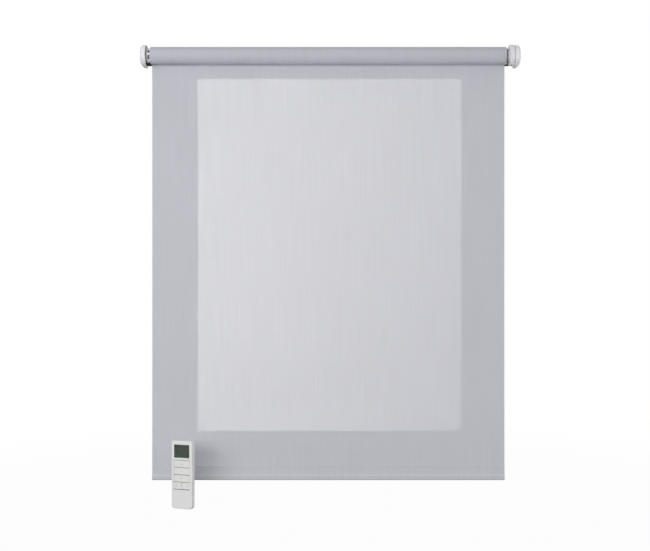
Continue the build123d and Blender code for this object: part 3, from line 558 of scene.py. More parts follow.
@dataclass(frozen=True)
class Crystal(Finish):
    """Liquid crystal display at rest, with its dormant cells just visible.

    Attributes:
        cell: The pitch of the cells.
        cloud: The size of the lighter places.
        cloud_tone: How much those change the tone.
        cloud_gloss: How much those change the roughness.
        cell_tone: How much the cells change the tone.
    """

    cell: float = 0.6 * MM
    cloud: float = 30 * MM
    cloud_tone: float = 0.5
    cloud_gloss: float = 0.05
    cell_tone: float = 0.04

    def surface(self, maker: NodeMaker) -> Signal:
        """Dark green grey, a little lighter in places, with a fine field of cells.

        Args:
            maker: The maker of the material's nodes.

        Returns:
            The shader.
        """
        place = maker.place()
        light = maker.noise(place, (self.cloud,) * 3, 1.0)
        x, _, z = maker.parts(place)
        step = math.tau / self.cell
        cells = (x * step).sine() * (z * step).sine()
        tone = 1.0 + light * self.cloud_tone + cells * self.cell_tone
        return maker.principled(
            {
                "Base Color": maker.scaled(self.colour, tone),
                "Roughness": self.roughness + light * self.cloud_gloss,
                "Specular IOR Level": 0.15,
            }
        )


@dataclass(frozen=True)
class Board(Finish):
    """Circuit board with tracks under its green mask and bare pads.

    Attributes:
        pad: The colour of the pads.
        bends: How far a track runs between its bends.
        bend_angle: How far the bends shift the tracks, as an angle of their wave.
        per_track: The angle of the tracks' wave in a metre.
        track_edge: The height of the wave that a track starts at.
        track_light: How much lighter the mask is over a track.
        track_gloss: How much smoother it is there.
        per_pad: The angle of the pads' waves in a metre.
        pad_edge: The height of the waves that a pad starts at.
        pad_metal: How metallic a pad is.
        relief: The depth of the tracks and pads.
    """

    pad: Colour = (0.62, 0.55, 0.36)
    bends: float = 6 * MM
    bend_angle: float = 40.0
    per_track: float = 3500.0
    track_edge: float = 0.55
    track_light: float = 1.6
    track_gloss: float = 0.05
    per_pad: float = 2400.0
    pad_edge: float = 0.86
    pad_metal: float = 0.9
    relief: float = 0.03 * MM

    def surface(self, maker: NodeMaker) -> Signal:
        """Mask colour, lighter over the tracks, with metal pads in rows.

        Args:
            maker: The maker of the material's nodes.

        Returns:
            The shader.
        """
        place = maker.place()
        x, y, z = maker.parts(place)
        bends = maker.noise(place, (self.bends,) * 3, 1.0) * self.bend_angle
        tracks = (bends + (x + y) * self.per_track).sine().above(self.track_edge)
        rows = (x * self.per_pad).sine() * ((y + z) * self.per_pad).sine()
        pads = rows.above(self.pad_edge)
        over_track = tuple(self.track_light * c for c in self.colour)
        mask = maker.between(tracks, (*self.colour, 1.0), (*over_track, 1.0))
        return maker.principled(
            {
                "Base Color": maker.between(pads, mask, (*self.pad, 1.0)),
                "Metallic": pads * self.pad_metal,
                "Roughness": self.roughness - tracks * self.track_gloss,
                "Normal": maker.bump(tracks + pads, self.relief),
            }
        )


CLOTH = Cloth("blind_cloth", (0.81, 0.815, 0.858), 0.85, see_through=0.5)
ROLL_CLOTH = Cloth("rolled_cloth", (0.61, 0.615, 0.675), 0.85, see_through=0.12)
HEM_CLOTH = Cloth("hem_cloth", (0.73, 0.735, 0.78), 0.85, see_through=0.25)
WHITE_COVER = Moulding("white_cover", (0.85, 0.85, 0.885), 0.42)
WHITE_INSERT = Moulding("white_insert", (0.80, 0.80, 0.83), 0.5)
# White moulding with shade painted into the pockets of the hub.
HUB_PAINTED_SHADE = Hub("hub_white_painted_shade", (0.82, 0.82, 0.85), 0.5)
CROWN_GREY = Moulding("crown_grey", (0.12, 0.12, 0.13), 0.4)
HEAD_PLASTIC = Moulding("head_plastic", (0.80, 0.80, 0.84), 0.45)
PLATED_STEEL = Metal("plated_steel", (0.62, 0.63, 0.66), 0.34)
DARK_STEEL = Metal("dark_steel", (0.16, 0.16, 0.165), 0.42)
BRIGHT_STEEL = Metal("bright_steel", (0.66, 0.67, 0.70), 0.22, Lines.ROUND)
HOUSING_STEEL = Metal("housing_steel", (0.60, 0.61, 0.64), 0.3, Lines.ALONG)
GEAR_STEEL = Metal("gear_steel", (0.50, 0.50, 0.52), 0.32, Lines.ROUND)
BRONZE = Metal("bearing_bronze", (0.62, 0.42, 0.22), 0.4, Lines.ROUND)
ALUMINIUM = Metal("drawn_aluminium", (0.78, 0.79, 0.81), 0.3, Lines.ALONG)
SPLINE_PLASTIC = Moulding("spline_plastic", (0.70, 0.70, 0.68), 0.5)
SLEEVE_FILM = Moulding("sleeve_film", (0.07, 0.16, 0.34), 0.3)
BOARD_GREEN = Board("board_green", (0.012, 0.055, 0.03), 0.35)
CLEAR_BUTTON = Clear("clear_button", (0.90, 0.93, 0.98), 0.12)
CLEAR_WINDOW = Clear("clear_window", (0.97, 0.98, 0.98), 0.03, bend=1.3)
DISPLAY = Crystal("display", (0.026, 0.043, 0.02), 0.3)
HANDSET_WHITE = Moulding("handset_white", (0.78, 0.78, 0.775), 0.4, grain=0.25 * MM)
KEY_WHITE = Moulding("key_white", (0.78, 0.78, 0.77), 0.42, grain=0.25 * MM)
DOOR_WHITE = Moulding("door_white", (0.75, 0.75, 0.742), 0.45, grain=0.25 * MM)
# Black of the sheet that paints the shade on the walls of the handset's window.
PAINTED_SHADE_BLACK = Moulding("painted_shade_black", (0.008, 0.009, 0.008), 0.5)
LEGEND_GREY = Moulding("legend_grey", (0.22, 0.22, 0.22), 0.6)
GREY_RUBBER = Moulding("grey_rubber", (0.28, 0.29, 0.30), 0.7, shine=0.25)

NODE_FINISHES: dict[Finish, tuple[str, ...]] = {
    WHITE_COVER: ("left_cover", "right_cover"),
    WHITE_INSERT: ("pin_socket", "motor_socket", "hem_end_caps"),
    HUB_PAINTED_SHADE: ("idle_plug",),
    CROWN_GREY: ("crown_ring",),
    HEAD_PLASTIC: ("motor_head", "motor_end_cap", "drive_wheel"),
    DARK_STEEL: ("left_bracket", "right_bracket"),
    PLATED_STEEL: ("motor_clip", "drive_clip", "charge_socket"),
    BRIGHT_STEEL: ("idle_pin", "spring_retainer", "remote_battery"),
    HOUSING_STEEL: ("motor_housing", "dc_motor", "battery_contacts", "remote_screws"),
    GEAR_STEEL: ("motor_pinion", "ring_gear", "carrier_1", "carrier_2", "output_shaft"),
    BRONZE: ("output_bearing",),
    ALUMINIUM: ("roller_tube", "hem_bar"),
    SPLINE_PLASTIC: ("fabric_spline",),
    SLEEVE_FILM: ("battery_sleeve", "battery_cells"),
    BOARD_GREEN: ("motor_board", "remote_board"),
    CLEAR_BUTTON: ("set_button",),
    CLEAR_WINDOW: ("remote_window",),
    DISPLAY: ("remote_display",),
    HANDSET_WHITE: ("remote_front_shell", "remote_back_shell"),
    DOOR_WHITE: ("battery_door",),
    KEY_WHITE: ("up_key", "stop_key", "down_key", "left_key", "right_key"),
    GREY_RUBBER: ("remote_keypad",),
}
PLANET_PREFIX = "planet_"


class Workshop:
    """Makes meshes and hands finished pieces to the frame."""

    @staticmethod
    def link(name: str, data: bpy.types.ID) -> Piece:
        """Puts a mesh, lamp or camera into the scene as an object at the origin.

        Args:
            name: The object's name.
            data: The mesh, lamp or camera.

        Returns:
            The object.
        """
        made = bpy.data.objects.new(name, data)
        bpy.context.scene.collection.objects.link(made)
        return made

    @classmethod
    def piece(
        cls,
        name: str,
        points: Sequence[Point],
        faces: Sequence[Sequence[int]],
        finish: Finish,
    ) -> Piece:
        """Makes a smooth piece from points and faces.

        Args:
            name: The piece's name.
            points: Its points, in metres.
            faces: Its faces, each by the numbers of its points.
            finish: Its finish.

        Returns:
            The piece.
        """
        mesh = bpy.data.meshes.new(name)
        mesh.from_pydata([tuple(p) for p in points], [], [tuple(f) for f in faces])
        mesh.validate()
        mesh.materials.append(finish.material())
        cls.smooth(mesh)
        return cls.link(name, mesh)

    @staticmethod
    def smooth(mesh: bpy.types.Mesh) -> None:
        """Shades a mesh smooth, but for its sharper edges."""
        mesh.shade_smooth()
        mesh.set_sharp_from_angle(angle=SMOOTH_UP_TO)

    @staticmethod
    def lay(piece: Piece, values: Sequence[Point]) -> None:
        """Writes where each point lies on the flat cloth, in metres."""
        layer = piece.data.attributes.new(LAY, "FLOAT_VECTOR", "POINT")
        layer.data.foreach_set("vector", [c for value in values for c in value])

    @classmethod
    def strip(
        cls,
        name: str,
        line: Outline,
        ends: Pair,
        columns: int,
        thickness: float,
        finish: Finish,
        start: float = 0.0,
        wave: Callable[[float, float], float] | None = None,
    ) -> Piece:
        """Makes cloth that runs across the blind, along a line seen from the end.

        Args:
            name: The piece's name.
            line: The cloth's middle from its first to its last edge, as (y, z).
            ends: The cloth's left and right edges.
            columns: How many columns of faces it has.
            thickness: The cloth's thickness.
            finish: The cloth's finish.
            start: How far along the flat cloth the first edge lies.
            wave: How far the cloth leaves its line at a place across and a share along.

        Returns:
            A closed piece with its lay written.
        """
        normals = cls.normals(line)
        runs = [start]
        for a, b in zip(line, line[1:]):
            runs.append(runs[-1] + math.dist(a, b))
        points: list[Point] = []
        lays: list[Point] = []
        rows = len(line)
        width = columns + 1
        for side in (0.5, -0.5):
            for i, ((y, z), (ny, nz)) in enumerate(zip(line, normals)):
                for c in range(width):
                    x = ends[0] + (ends[1] - ends[0]) * c / columns
                    off = side * thickness + (wave(x, i / (rows - 1)) if wave else 0.0)
                    points.append((x, y + off * ny, z + off * nz))
                    lays.append((x, runs[i], 0.0))
        back = rows * width
        faces: list[tuple[int, ...]] = []
        for i in range(rows - 1):
            for c in range(columns):
                a = i * width + c
                b = back + a
                faces.append((a, a + width, a + width + 1, a + 1))
                faces.append((b, b + 1, b + width + 1, b + width))
            left, right = i * width, i * width + columns
            faces.append((left, back + left, back + left + width, left + width))
            faces.append((right, right + width, back + right + width, back + right))
        for c in range(columns):
            first, last = c, (rows - 1) * width + c
            faces.append((first, first + 1, back + first + 1, back + first))
            faces.append((last, back + last, back + last + 1, last + 1))
        made = cls.piece(name, points, faces, finish)
        cls.lay(made, lays)
        return made

    @staticmethod
    def normals(line: Outline) -> Outline:
        """Unit normals along an open line, to the left of its direction.

        Args:
            line: The line, as (y, z).

        Returns:
            A normal for each of its points.
        """
        found = []
        for i in range(len(line)):
            a, b = line[max(i - 1, 0)], line[min(i + 1, len(line) - 1)]
            long = math.dist(a, b)
            found.append((-(b[1] - a[1]) / long, (b[0] - a[0]) / long))
        return found

    @classmethod
    def slab(
        cls,
        name: str,
        outline: Outline,
        depth: Pair,
        place: Matrix,
        finish: Finish,
        opening: Outline | None = None,
    ) -> Piece:
        """Makes a flat piece on the handset's face, whole or with an opening.

        Args:
            name: The piece's name.
            outline: The outline on the face, counter-clockwise as it is seen.
            depth: The front and back, measured into the face.
            place: Where the handset stands.
            finish: The piece's finish.
            opening: An outline with as many points as the first, left open.

        Returns:
            A closed piece.
        """
        count = len(outline)
        flat = [(x, y, z) for y in depth for x, z in outline]
        faces: list[tuple[int, ...]] = []
        for i in range(count):
            j = (i + 1) % count
            faces.append((i, i + count, j + count, j))
        if opening:
            flat += [(x, y, z) for y in depth for x, z in opening]
            inner = 2 * count
            for i in range(count):
                j = (i + 1) % count
                a, b = inner + i, inner + j
                faces.append((a, b, b + count, a + count))
                faces.append((i, j, b, a))
                faces.append((i + count, a + count, b + count, j + count))
        else:
            faces.append(tuple(range(count)))
            faces.append(tuple(reversed(range(count, 2 * count))))
        return cls.piece(name, [place @ Vector(p) for p in flat], faces, finish)

    @staticmethod
    def grown(name: str, tree: Tree, inputs: Mapping[str, object]) -> Piece:
        """Runs a geometry tree and keeps the plain mesh that it makes.

        Args:
            name: The piece's name.
            tree: The geometry tree.
            inputs: The tree's inputs by name.

        Returns:
            The piece, with no modifier left on it.
        """
        seed = Workshop.link(name, bpy.data.meshes.new(name))
        modifier = seed.modifiers.new("grow", "NODES")
        modifier.node_group = tree
        for item in tree.interface.items_tree:
            if item.item_type == "SOCKET" and item.in_out == "INPUT":
                modifier[item.identifier] = inputs[item.name]
        bpy.context.view_layer.update()
        evaluated = seed.evaluated_get(bpy.context.evaluated_depsgraph_get())
        mesh = bpy.data.meshes.new_from_object(evaluated)
        seed.modifiers.clear()
        seed.data = mesh
        mesh.name = name
        return seed

    @staticmethod
    def tree(
        name: str, sockets: Mapping[str, str]
    ) -> tuple[NodeMaker, dict[str, Signal]]:
        """Starts a geometry tree with named inputs, the piece's finish among them.

        Args:
            name: The tree's name.
            sockets: Each input's name and the end of its socket's type.

        Returns:
            The maker of its nodes, and its inputs by name.
        """
        tree = bpy.data.node_groups.new(name, "GeometryNodeTree")
        for label, kind in (*sockets.items(), ("Finish", "Material")):
            wanted = f"NodeSocket{kind}"
            tree.interface.new_socket(label, in_out="INPUT", socket_type=wanted)
        made = "NodeSocketGeometry"
        tree.interface.new_socket("Geometry", in_out="OUTPUT", socket_type=made)
        maker = NodeMaker(tree)
        given = maker.node("NodeGroupInput")
        return maker, {s.name: Signal(maker, s) for s in given.outputs if s.name}

    @staticmethod
    def ended(maker: NodeMaker, geometry: Signal, finish: Signal) -> Tree:
        """Ends a geometry tree: one real mesh in its finish.

        Args:
            maker: The maker of the tree's nodes.
            geometry: What the tree has made.
            finish: The tree's input for the finish.

        Returns:
            The tree.
        """
        real = maker.value("GeometryNodeRealizeInstances", {"Geometry": geometry})
        inputs = {"Geometry": real, "Material": finish}
        dressed = maker.value("GeometryNodeSetMaterial", inputs)
        maker.node("NodeGroupOutput", {"Geometry": dressed})
        return maker.tree


def hand_over(piece: Piece, body: str, slot: str, *nodes: str) -> None:
    """Lets a piece ride on its body and hides the nodes it stands for.

    Args:
        piece: The piece.
        body: The body that it rides on.
        slot: Its slot; not used.
        *nodes: The CAD nodes that it stands for.
    """
    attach(piece, body)
    if nodes:
        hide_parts(*nodes)
    LOG.info("%s rides on %s, %d points", piece.name, body, len(piece.data.vertices))


@dataclass
class HangingCloth:
    """The cloth from the roller to the hem, and its last turn over the roll.

    Attributes:
        left: The cloth's left edge.
        right: Its right edge.
        bottom: Where the hem begins.
        thickness: Its thickness.
        turn_outside: The last turn's radius where the cloth leaves the roll.
        turn_inside: Its radius a turn before.
        cup: How far the edges curl.
        cup_width: How far in from an edge the curl dies away.
        billow: How far the cloth billows.
        billows_across: The billow's angle in a metre across.
        billows_down: Its angle over the cloth's whole drop.
        billow_lean: How far it shifts sideways over the drop.
        billow_start: Its angle at the roller.
        rows: Rows of faces down the cloth.
        columns: Columns of faces across it.
        turn_steps: Rows of faces round the last turn.
        turn_columns: Columns of faces across it.
        travel_joint: The hem's joint; not used.
        travel: How far the hem rises; not used.
    """

    left: float
    right: float
    bottom: float
    thickness: float = 0.36 * MM
    turn_outside: float = 18.05 * MM
    turn_inside: float = 17.68 * MM
    cup: float = 0.9 * MM
    cup_width: float = 14 * MM
    billow: float = 0.5 * MM
    billows_across: float = 9.0
    billows_down: float = 5.0
    billow_lean: float = 2.0
    billow_start: float = 1.3
    rows: int = 90
    columns: int = 84
    turn_steps: int = 120
    turn_columns: int = 12
    travel_joint: str = "hem_travel"
    travel: float = 0.84

    def wave(self, x: float, share: float) -> float:
        """How far the cloth leaves its plane: cupped edges and a faint billow.

        Args:
            x: The place across the blind.
            share: The place down the cloth, from 0 at the roller to 1 at the hem.

        Returns:
            The distance, in metres.
        """
        ease = math.sin(math.pi * min(max(share, 0.0), 1.0)) ** 0.5
        edge = min(x - self.left, self.right - x) / self.cup_width
        cup = self.cup * math.exp(-max(edge, 0.0))
        across = math.sin(self.billows_across * x + self.billow_lean * share)
        down = math.sin(self.billows_down * share + self.billow_start)
        return ease * (cup + self.billow * across * down)

    def panel(self) -> Piece:
        """The hanging part.

        Returns:
            The piece.
        """
        line = [(CLOTH_Y, self.bottom * i / self.rows) for i in range(self.rows + 1)]
        made = Workshop.strip(
            "hanging_cloth",
            line,
            (self.left, self.right),
            self.columns,
            self.thickness,
            CLOTH,
            wave=self.wave,
        )
        hand_over(made, "mounting", "cloth", "fabric_panel")
        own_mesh(made)
        return made

    def last_turn(self) -> Piece:
        """The turn that the cloth leaves the roll from, drawn once round the roll.

        Returns:
            The piece.
        """
        line = []
        for i in range(self.turn_steps + 1):
            share = i / self.turn_steps
            angle = math.tau * (1.0 - share)
            radius = self.turn_inside + (self.turn_outside - self.turn_inside) * share
            line.append((AXIS_Y + radius * math.cos(angle), radius * math.sin(angle)))
        long = sum(math.dist(a, b) for a, b in zip(line, line[1:]))
        made = Workshop.strip(
            "last_turn",
            line,
            (self.left, self.right),
            self.turn_columns,
            self.thickness,
            ROLL_CLOTH,
            start=-long,
        )
        hand_over(made, "mounting", "cloth")
        return made


@dataclass
class ClothRoll:
    """The turns of cloth on the tube, wound by a geometry tree.

    Attributes:
        left: The roll's left end.
        right: Its right end.
        inside: The first turn's radius.
        outside: The last drawn turn's radius.
        turns: How many turns are drawn.
        steps: How many steps each turn has.
        thickness: The cloth's thickness.
        drift: How far the turns wander sideways.
        drifts_per_metre: How often they wander, along the cloth.
        drift_detail: How many finer octaves that has.
    """

    left: float
    right: float
    inside: float = 14.2 * MM
    outside: float = 17.28 * MM
    turns: int = 8
    steps: int = 96
    thickness: float = 0.33 * MM
    drift: float = 0.5 * MM
    drifts_per_metre: float = 14.0
    drift_detail: float = 2.0

    def tree(self) -> Tree:
        """The tree that winds a strip of cloth into a spiral about the local Z axis.

        Returns:
            The tree, with the roll's sizes as its inputs.
        """
        floats = dict.fromkeys(
            ("Turns", "Inside", "Outside", "Width", "Thickness", "Drift"), "Float"
        )
        maker, given = Workshop.tree("wound_cloth", {**floats, "Steps": "Int"})
        sizes = {
            "Resolution": given["Steps"],
            "Rotations": given["Turns"],
            "Start Radius": given["Inside"],
            "End Radius": given["Outside"],
            "Height": 0.0,
        }
        spiral = maker.value("GeometryNodeCurveSpiral", sizes)
        run = maker.value("GeometryNodeSplineParameter", (), "Length")
        marked = maker.value(
            "GeometryNodeStoreNamedAttribute",
            {"Geometry": spiral, "Name": "run", "Value": run},
            data_type="FLOAT",
            domain="POINT",
        )
        upright = maker.value(
            "GeometryNodeSetCurveNormal", {"Curve": marked}, mode="Z_UP"
        )
        section = maker.value(
            "GeometryNodeCurvePrimitiveQuadrilateral",
            {"Width": given["Thickness"], "Height": given["Width"]},
            mode="RECTANGLE",
        )
        wound = maker.value(
            "GeometryNodeCurveToMesh",
            {"Curve": upright, "Profile Curve": section, "Fill Caps": True},
        )
        run_back = maker.value(
            "GeometryNodeInputNamedAttribute", {"Name": "run"}, data_type="FLOAT"
        )
        place = maker.value("GeometryNodeInputPosition")
        _, _, z = maker.parts(place)
        grain = {
            "W": run_back,
            "Scale": self.drifts_per_metre,
            "Detail": self.drift_detail,
        }
        uneven = maker.value("ShaderNodeTexNoise", grain, noise_dimensions="1D")
        drift = maker.joined(0.0, 0.0, (uneven - 0.5) * given["Drift"])
        inputs = {"Geometry": wound, "Offset": drift}
        moved = maker.value("GeometryNodeSetPosition", inputs)
        laid = maker.value(
            "GeometryNodeStoreNamedAttribute",
            {"Geometry": moved, "Name": LAY, "Value": maker.joined(z, run_back, 0.0)},
            data_type="FLOAT_VECTOR",
            domain="POINT",
        )
        return Workshop.ended(maker, laid, given["Finish"])

    def build(self) -> Piece:
        """The wound cloth on the tube.

        Returns:
            The piece.
        """
        inputs = {
            "Turns": float(self.turns),
            "Steps": self.steps,
            "Inside": self.inside,
            "Outside": self.outside,
            "Width": self.right - self.left - self.drift,
            "Thickness": self.thickness,
            "Drift": self.drift,
            "Finish": ROLL_CLOTH.material(),
        }
        made = Workshop.grown("wound_cloth", self.tree(), inputs)
        middle = Vector(((self.left + self.right) / 2, AXIS_Y, 0.0))
        turned = Matrix(((0, 0, -1), (1, 0, 0), (0, -1, 0))).to_4x4()
        made.data.transform(Matrix.Translation(middle) @ turned)
        Workshop.smooth(made.data)
        hand_over(made, "tube", "cloth", "fabric_roll")
        return made


@dataclass
class Hem:
    """The welded pocket at the foot of the cloth, with the row of marks of its weld.

    Attributes:
        left: The pocket's left end.
        right: Its right end.
        top: The weld's upper edge.
        bottom: The pocket's foot.
        thickness: The cloth's thickness.
        bar_width: How wide the bar in the pocket is.
        bar_height: How high the bar is.
        fit: How far the cloth stays off the bar.
        crease: How far over the bar's upper round the two layers meet.
        neck_share: The part of that round's radius that counts to it.
        seam_gap: How far each layer stays off the middle.
        weld: How high the weld is.
        steps: Steps round each quarter of the bar.
        neck_steps: Steps down from the weld to the bar.
        columns: Columns of faces across.
        mark_pitch: From one mark to the next.
        mark_width: How wide a mark is.
        mark_height: How high it is.
        mark_sides: How many sides it has.
        mark_from_top: From the pocket's top to the row.
        mark_from_side: From the pocket's end to the first mark.
        mark_top: The radius of a mark's top, in its width.
        mark_foot: The radius of its foot, in its width.
        mark_gap: From the face of the two layers to the foot of a mark.
    """

    left: float
    right: float
    top: float
    bottom: float
    thickness: float = 0.38 * MM
    bar_width: float = 5 * MM
    bar_height: float = 11 * MM
    fit: float = 0.12 * MM
    crease: float = 1.6 * MM
    neck_share: float = 0.95
    seam_gap: float = 0.02 * MM
    weld: float = 3 * MM
    steps: int = 14
    neck_steps: int = 6
    columns: int = 40
    mark_pitch: float = 2.0 * MM
    mark_width: float = 1.1 * MM
    mark_height: float = 0.16 * MM
    mark_sides: int = 8
    mark_from_top: float = 2.2 * MM
    mark_from_side: float = 6 * MM
    mark_top: float = 0.3
    mark_foot: float = 0.5
    mark_gap: float = 0.05 * MM

    def line(self) -> Outline:
        """The pocket's cloth, from the weld down its front and up its back.

        Returns:
            The middle of the cloth, as (y, z).
        """
        radius = self.bar_width / 2 + self.fit + self.thickness / 2
        low = self.bottom + self.thickness / 2 + radius
        high = self.bottom + self.thickness + self.bar_height - self.bar_width / 2
        inset = self.thickness / 2 + self.seam_gap
        weld_foot = self.top - self.weld
        neck = high + radius * self.neck_share + self.crease
        half = [(inset, self.top), (inset, weld_foot)]
        for i in range(1, self.neck_steps + 1):
            half.append((inset, weld_foot + (neck - weld_foot) * i / self.neck_steps))
        quarter = [math.pi / 2 * i / self.steps for i in range(self.steps + 1)]
        for angle in reversed(quarter[:-1]):
            y = max(inset, radius * math.cos(angle))
            half.append((y, high + radius * math.sin(angle)))
        half.append((radius, (high + low) / 2))
        for angle in quarter[:-1]:
            half.append((radius * math.cos(angle), low - radius * math.sin(angle)))
        half.append((0.0, low - radius))
        front = [(CLOTH_Y - y, z) for y, z in half]
        back = [(CLOTH_Y + y, z) for y, z in reversed(half[:-1])]
        return front + back

    def pocket(self) -> Piece:
        """The pocket itself.

        Returns:
            The piece.
        """
        made = Workshop.strip(
            "hem_pocket_cloth",
            self.line(),
            (self.left, self.right),
            self.columns,
            self.thickness,
            HEM_CLOTH,
            start=-self.top,
        )
        hand_over(made, "hem", "cloth", "hem_pocket")
        return made

    def weld_tree(self) -> Tree:
        """The tree that sets a row of small raised marks along X, facing away from +Z.

        Returns:
            The tree, with the marks' sizes as its inputs.
        """
        floats = dict.fromkeys(("Pitch", "Width", "Height"), "Float")
        maker, given = Workshop.tree("weld_marks", {**floats, "Count": "Int"})
        row = maker.value(
            "GeometryNodeMeshLine",
            {"Count": given["Count"], "Offset": maker.joined(given["Pitch"], 0.0, 0.0)},
            mode="OFFSET",
        )
        sizes = {
            "Vertices": self.mark_sides,
            "Radius Top": given["Width"] * self.mark_top,
            "Radius Bottom": given["Width"] * self.mark_foot,
            "Depth": given["Height"],
        }
        mark = maker.value("GeometryNodeMeshCone", sizes, fill_type="NGON")
        inputs = {"Points": row, "Instance": mark}
        marks = maker.value("GeometryNodeInstanceOnPoints", inputs)
        return Workshop.ended(maker, marks, given["Finish"])

    def marks(self) -> Piece:
        """The row of marks that the welding tool leaves along the pocket's top.

        Returns:
            The piece.
        """
        inset = self.mark_from_side
        count = int((self.right - self.left - 2 * inset) / self.mark_pitch)
        inputs = {
            "Count": count,
            "Pitch": self.mark_pitch,
            "Width": self.mark_width,
            "Height": self.mark_height,
            "Finish": HEM_CLOTH.material(),
        }
        made = Workshop.grown("weld_marks", self.weld_tree(), inputs)
        face = CLOTH_Y - self.thickness - self.mark_gap
        at = Vector((self.left + inset, face, self.top - self.mark_from_top))
        upright = Matrix.Rotation(QUARTER_TURN, 4, "X")
        made.data.transform(Matrix.Translation(at) @ upright)
        Workshop.lay(made, [(p.co.x, -p.co.z, 0.0) for p in made.data.vertices])
        hand_over(made, "hem", "cloth")
        return made


@dataclass
class PinSpring:
    """The wire spring behind the idle pin, with closed and ground ends.

    Attributes:
        left: The spring's left end.
        right: Its right end, at the washer.
        outside: Its outer radius.
        wire: How thick the wire is.
        coils: How many open turns it has, between one closed turn at each end.
        closed_pitch: The rise of a closed turn.
        ground: How deep each end is ground, in the wire's thickness.
        ease: The part of a turn in which the rise changes.
        steps: Steps in a turn.
        sides: Sides round the wire.
        pin_joint: The pin's joint; not used.
        pin_travel: How far the pin goes in; not used.
    """

    left: float
    right: float
    outside: float = 6.2 * MM
    wire: float = 1.0 * MM
    coils: int = 5
    closed_pitch: float = 1.04 * MM
    ground: float = 0.25
    ease: float = 0.25
    steps: int = 48
    sides: int = 10
    pin_joint: str = "idle_pin_slide"
    pin_travel: float = 6 * MM

    def pitch(self, turn: float) -> float:
        """How far the wire rises per turn: little in the first and the last turn.

        Args:
            turn: The place along the wire, in turns from its left end.

        Returns:
            The rise per turn, in metres.
        """
        run = self.right - self.left - 2 * self.ground * self.wire
        closed = self.closed_pitch * (2 + self.ease)
        open_pitch = (run - closed) / (self.coils - self.ease)
        share = min(turn - 1, self.coils + 1 - turn) / self.ease
        share = min(max(share, 0.0), 1.0)
        return self.closed_pitch + (open_pitch - self.closed_pitch) * share

    def build(self) -> Piece:
        """The spring.

        Returns:
            The piece.
        """
        thick = self.wire / 2
        radius = self.outside - thick
        rings = (self.coils + 2) * self.steps + 1
        x = self.left + self.ground * self.wire
        points: list[Point] = []
        for i in range(rings):
            turn = i / self.steps
            rise = self.pitch(turn) / math.tau
            long = math.hypot(radius, rise)
            cos, sin = math.cos(math.tau * turn), math.sin(math.tau * turn)
            for k in range(self.sides):
                out = thick * math.cos(math.tau * k / self.sides)
                side = thick * math.sin(math.tau * k / self.sides) / long
                at = min(max(x + side * radius, self.left), self.right)
                y = AXIS_Y + (radius + out) * cos + side * rise * sin
                points.append((at, y, (radius + out) * sin - side * rise * cos))
            x += self.pitch(turn + 0.5 / self.steps) / self.steps
        faces: list[tuple[int, ...]] = [tuple(range(self.sides))]
        for i in range(rings - 1):
            for k in range(self.sides):
                a, b = i * self.sides + k, i * self.sides + (k + 1) % self.sides
                faces.append((a, a + self.sides, b + self.sides, b))
        last = (rings - 1) * self.sides
        faces.append(tuple(reversed(range(last, last + self.sides))))
        made = Workshop.piece("pin_spring", points, faces, BRIGHT_STEEL)
        hand_over(made, "tube", "bright_steel", "idle_spring")
        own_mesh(made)
        return made


class Heading(Enum):
    """Which way a key's mark points on the face, in degrees from up."""

    UP = 0
    LEFT = 90
    DOWN = 180
    RIGHT = 270


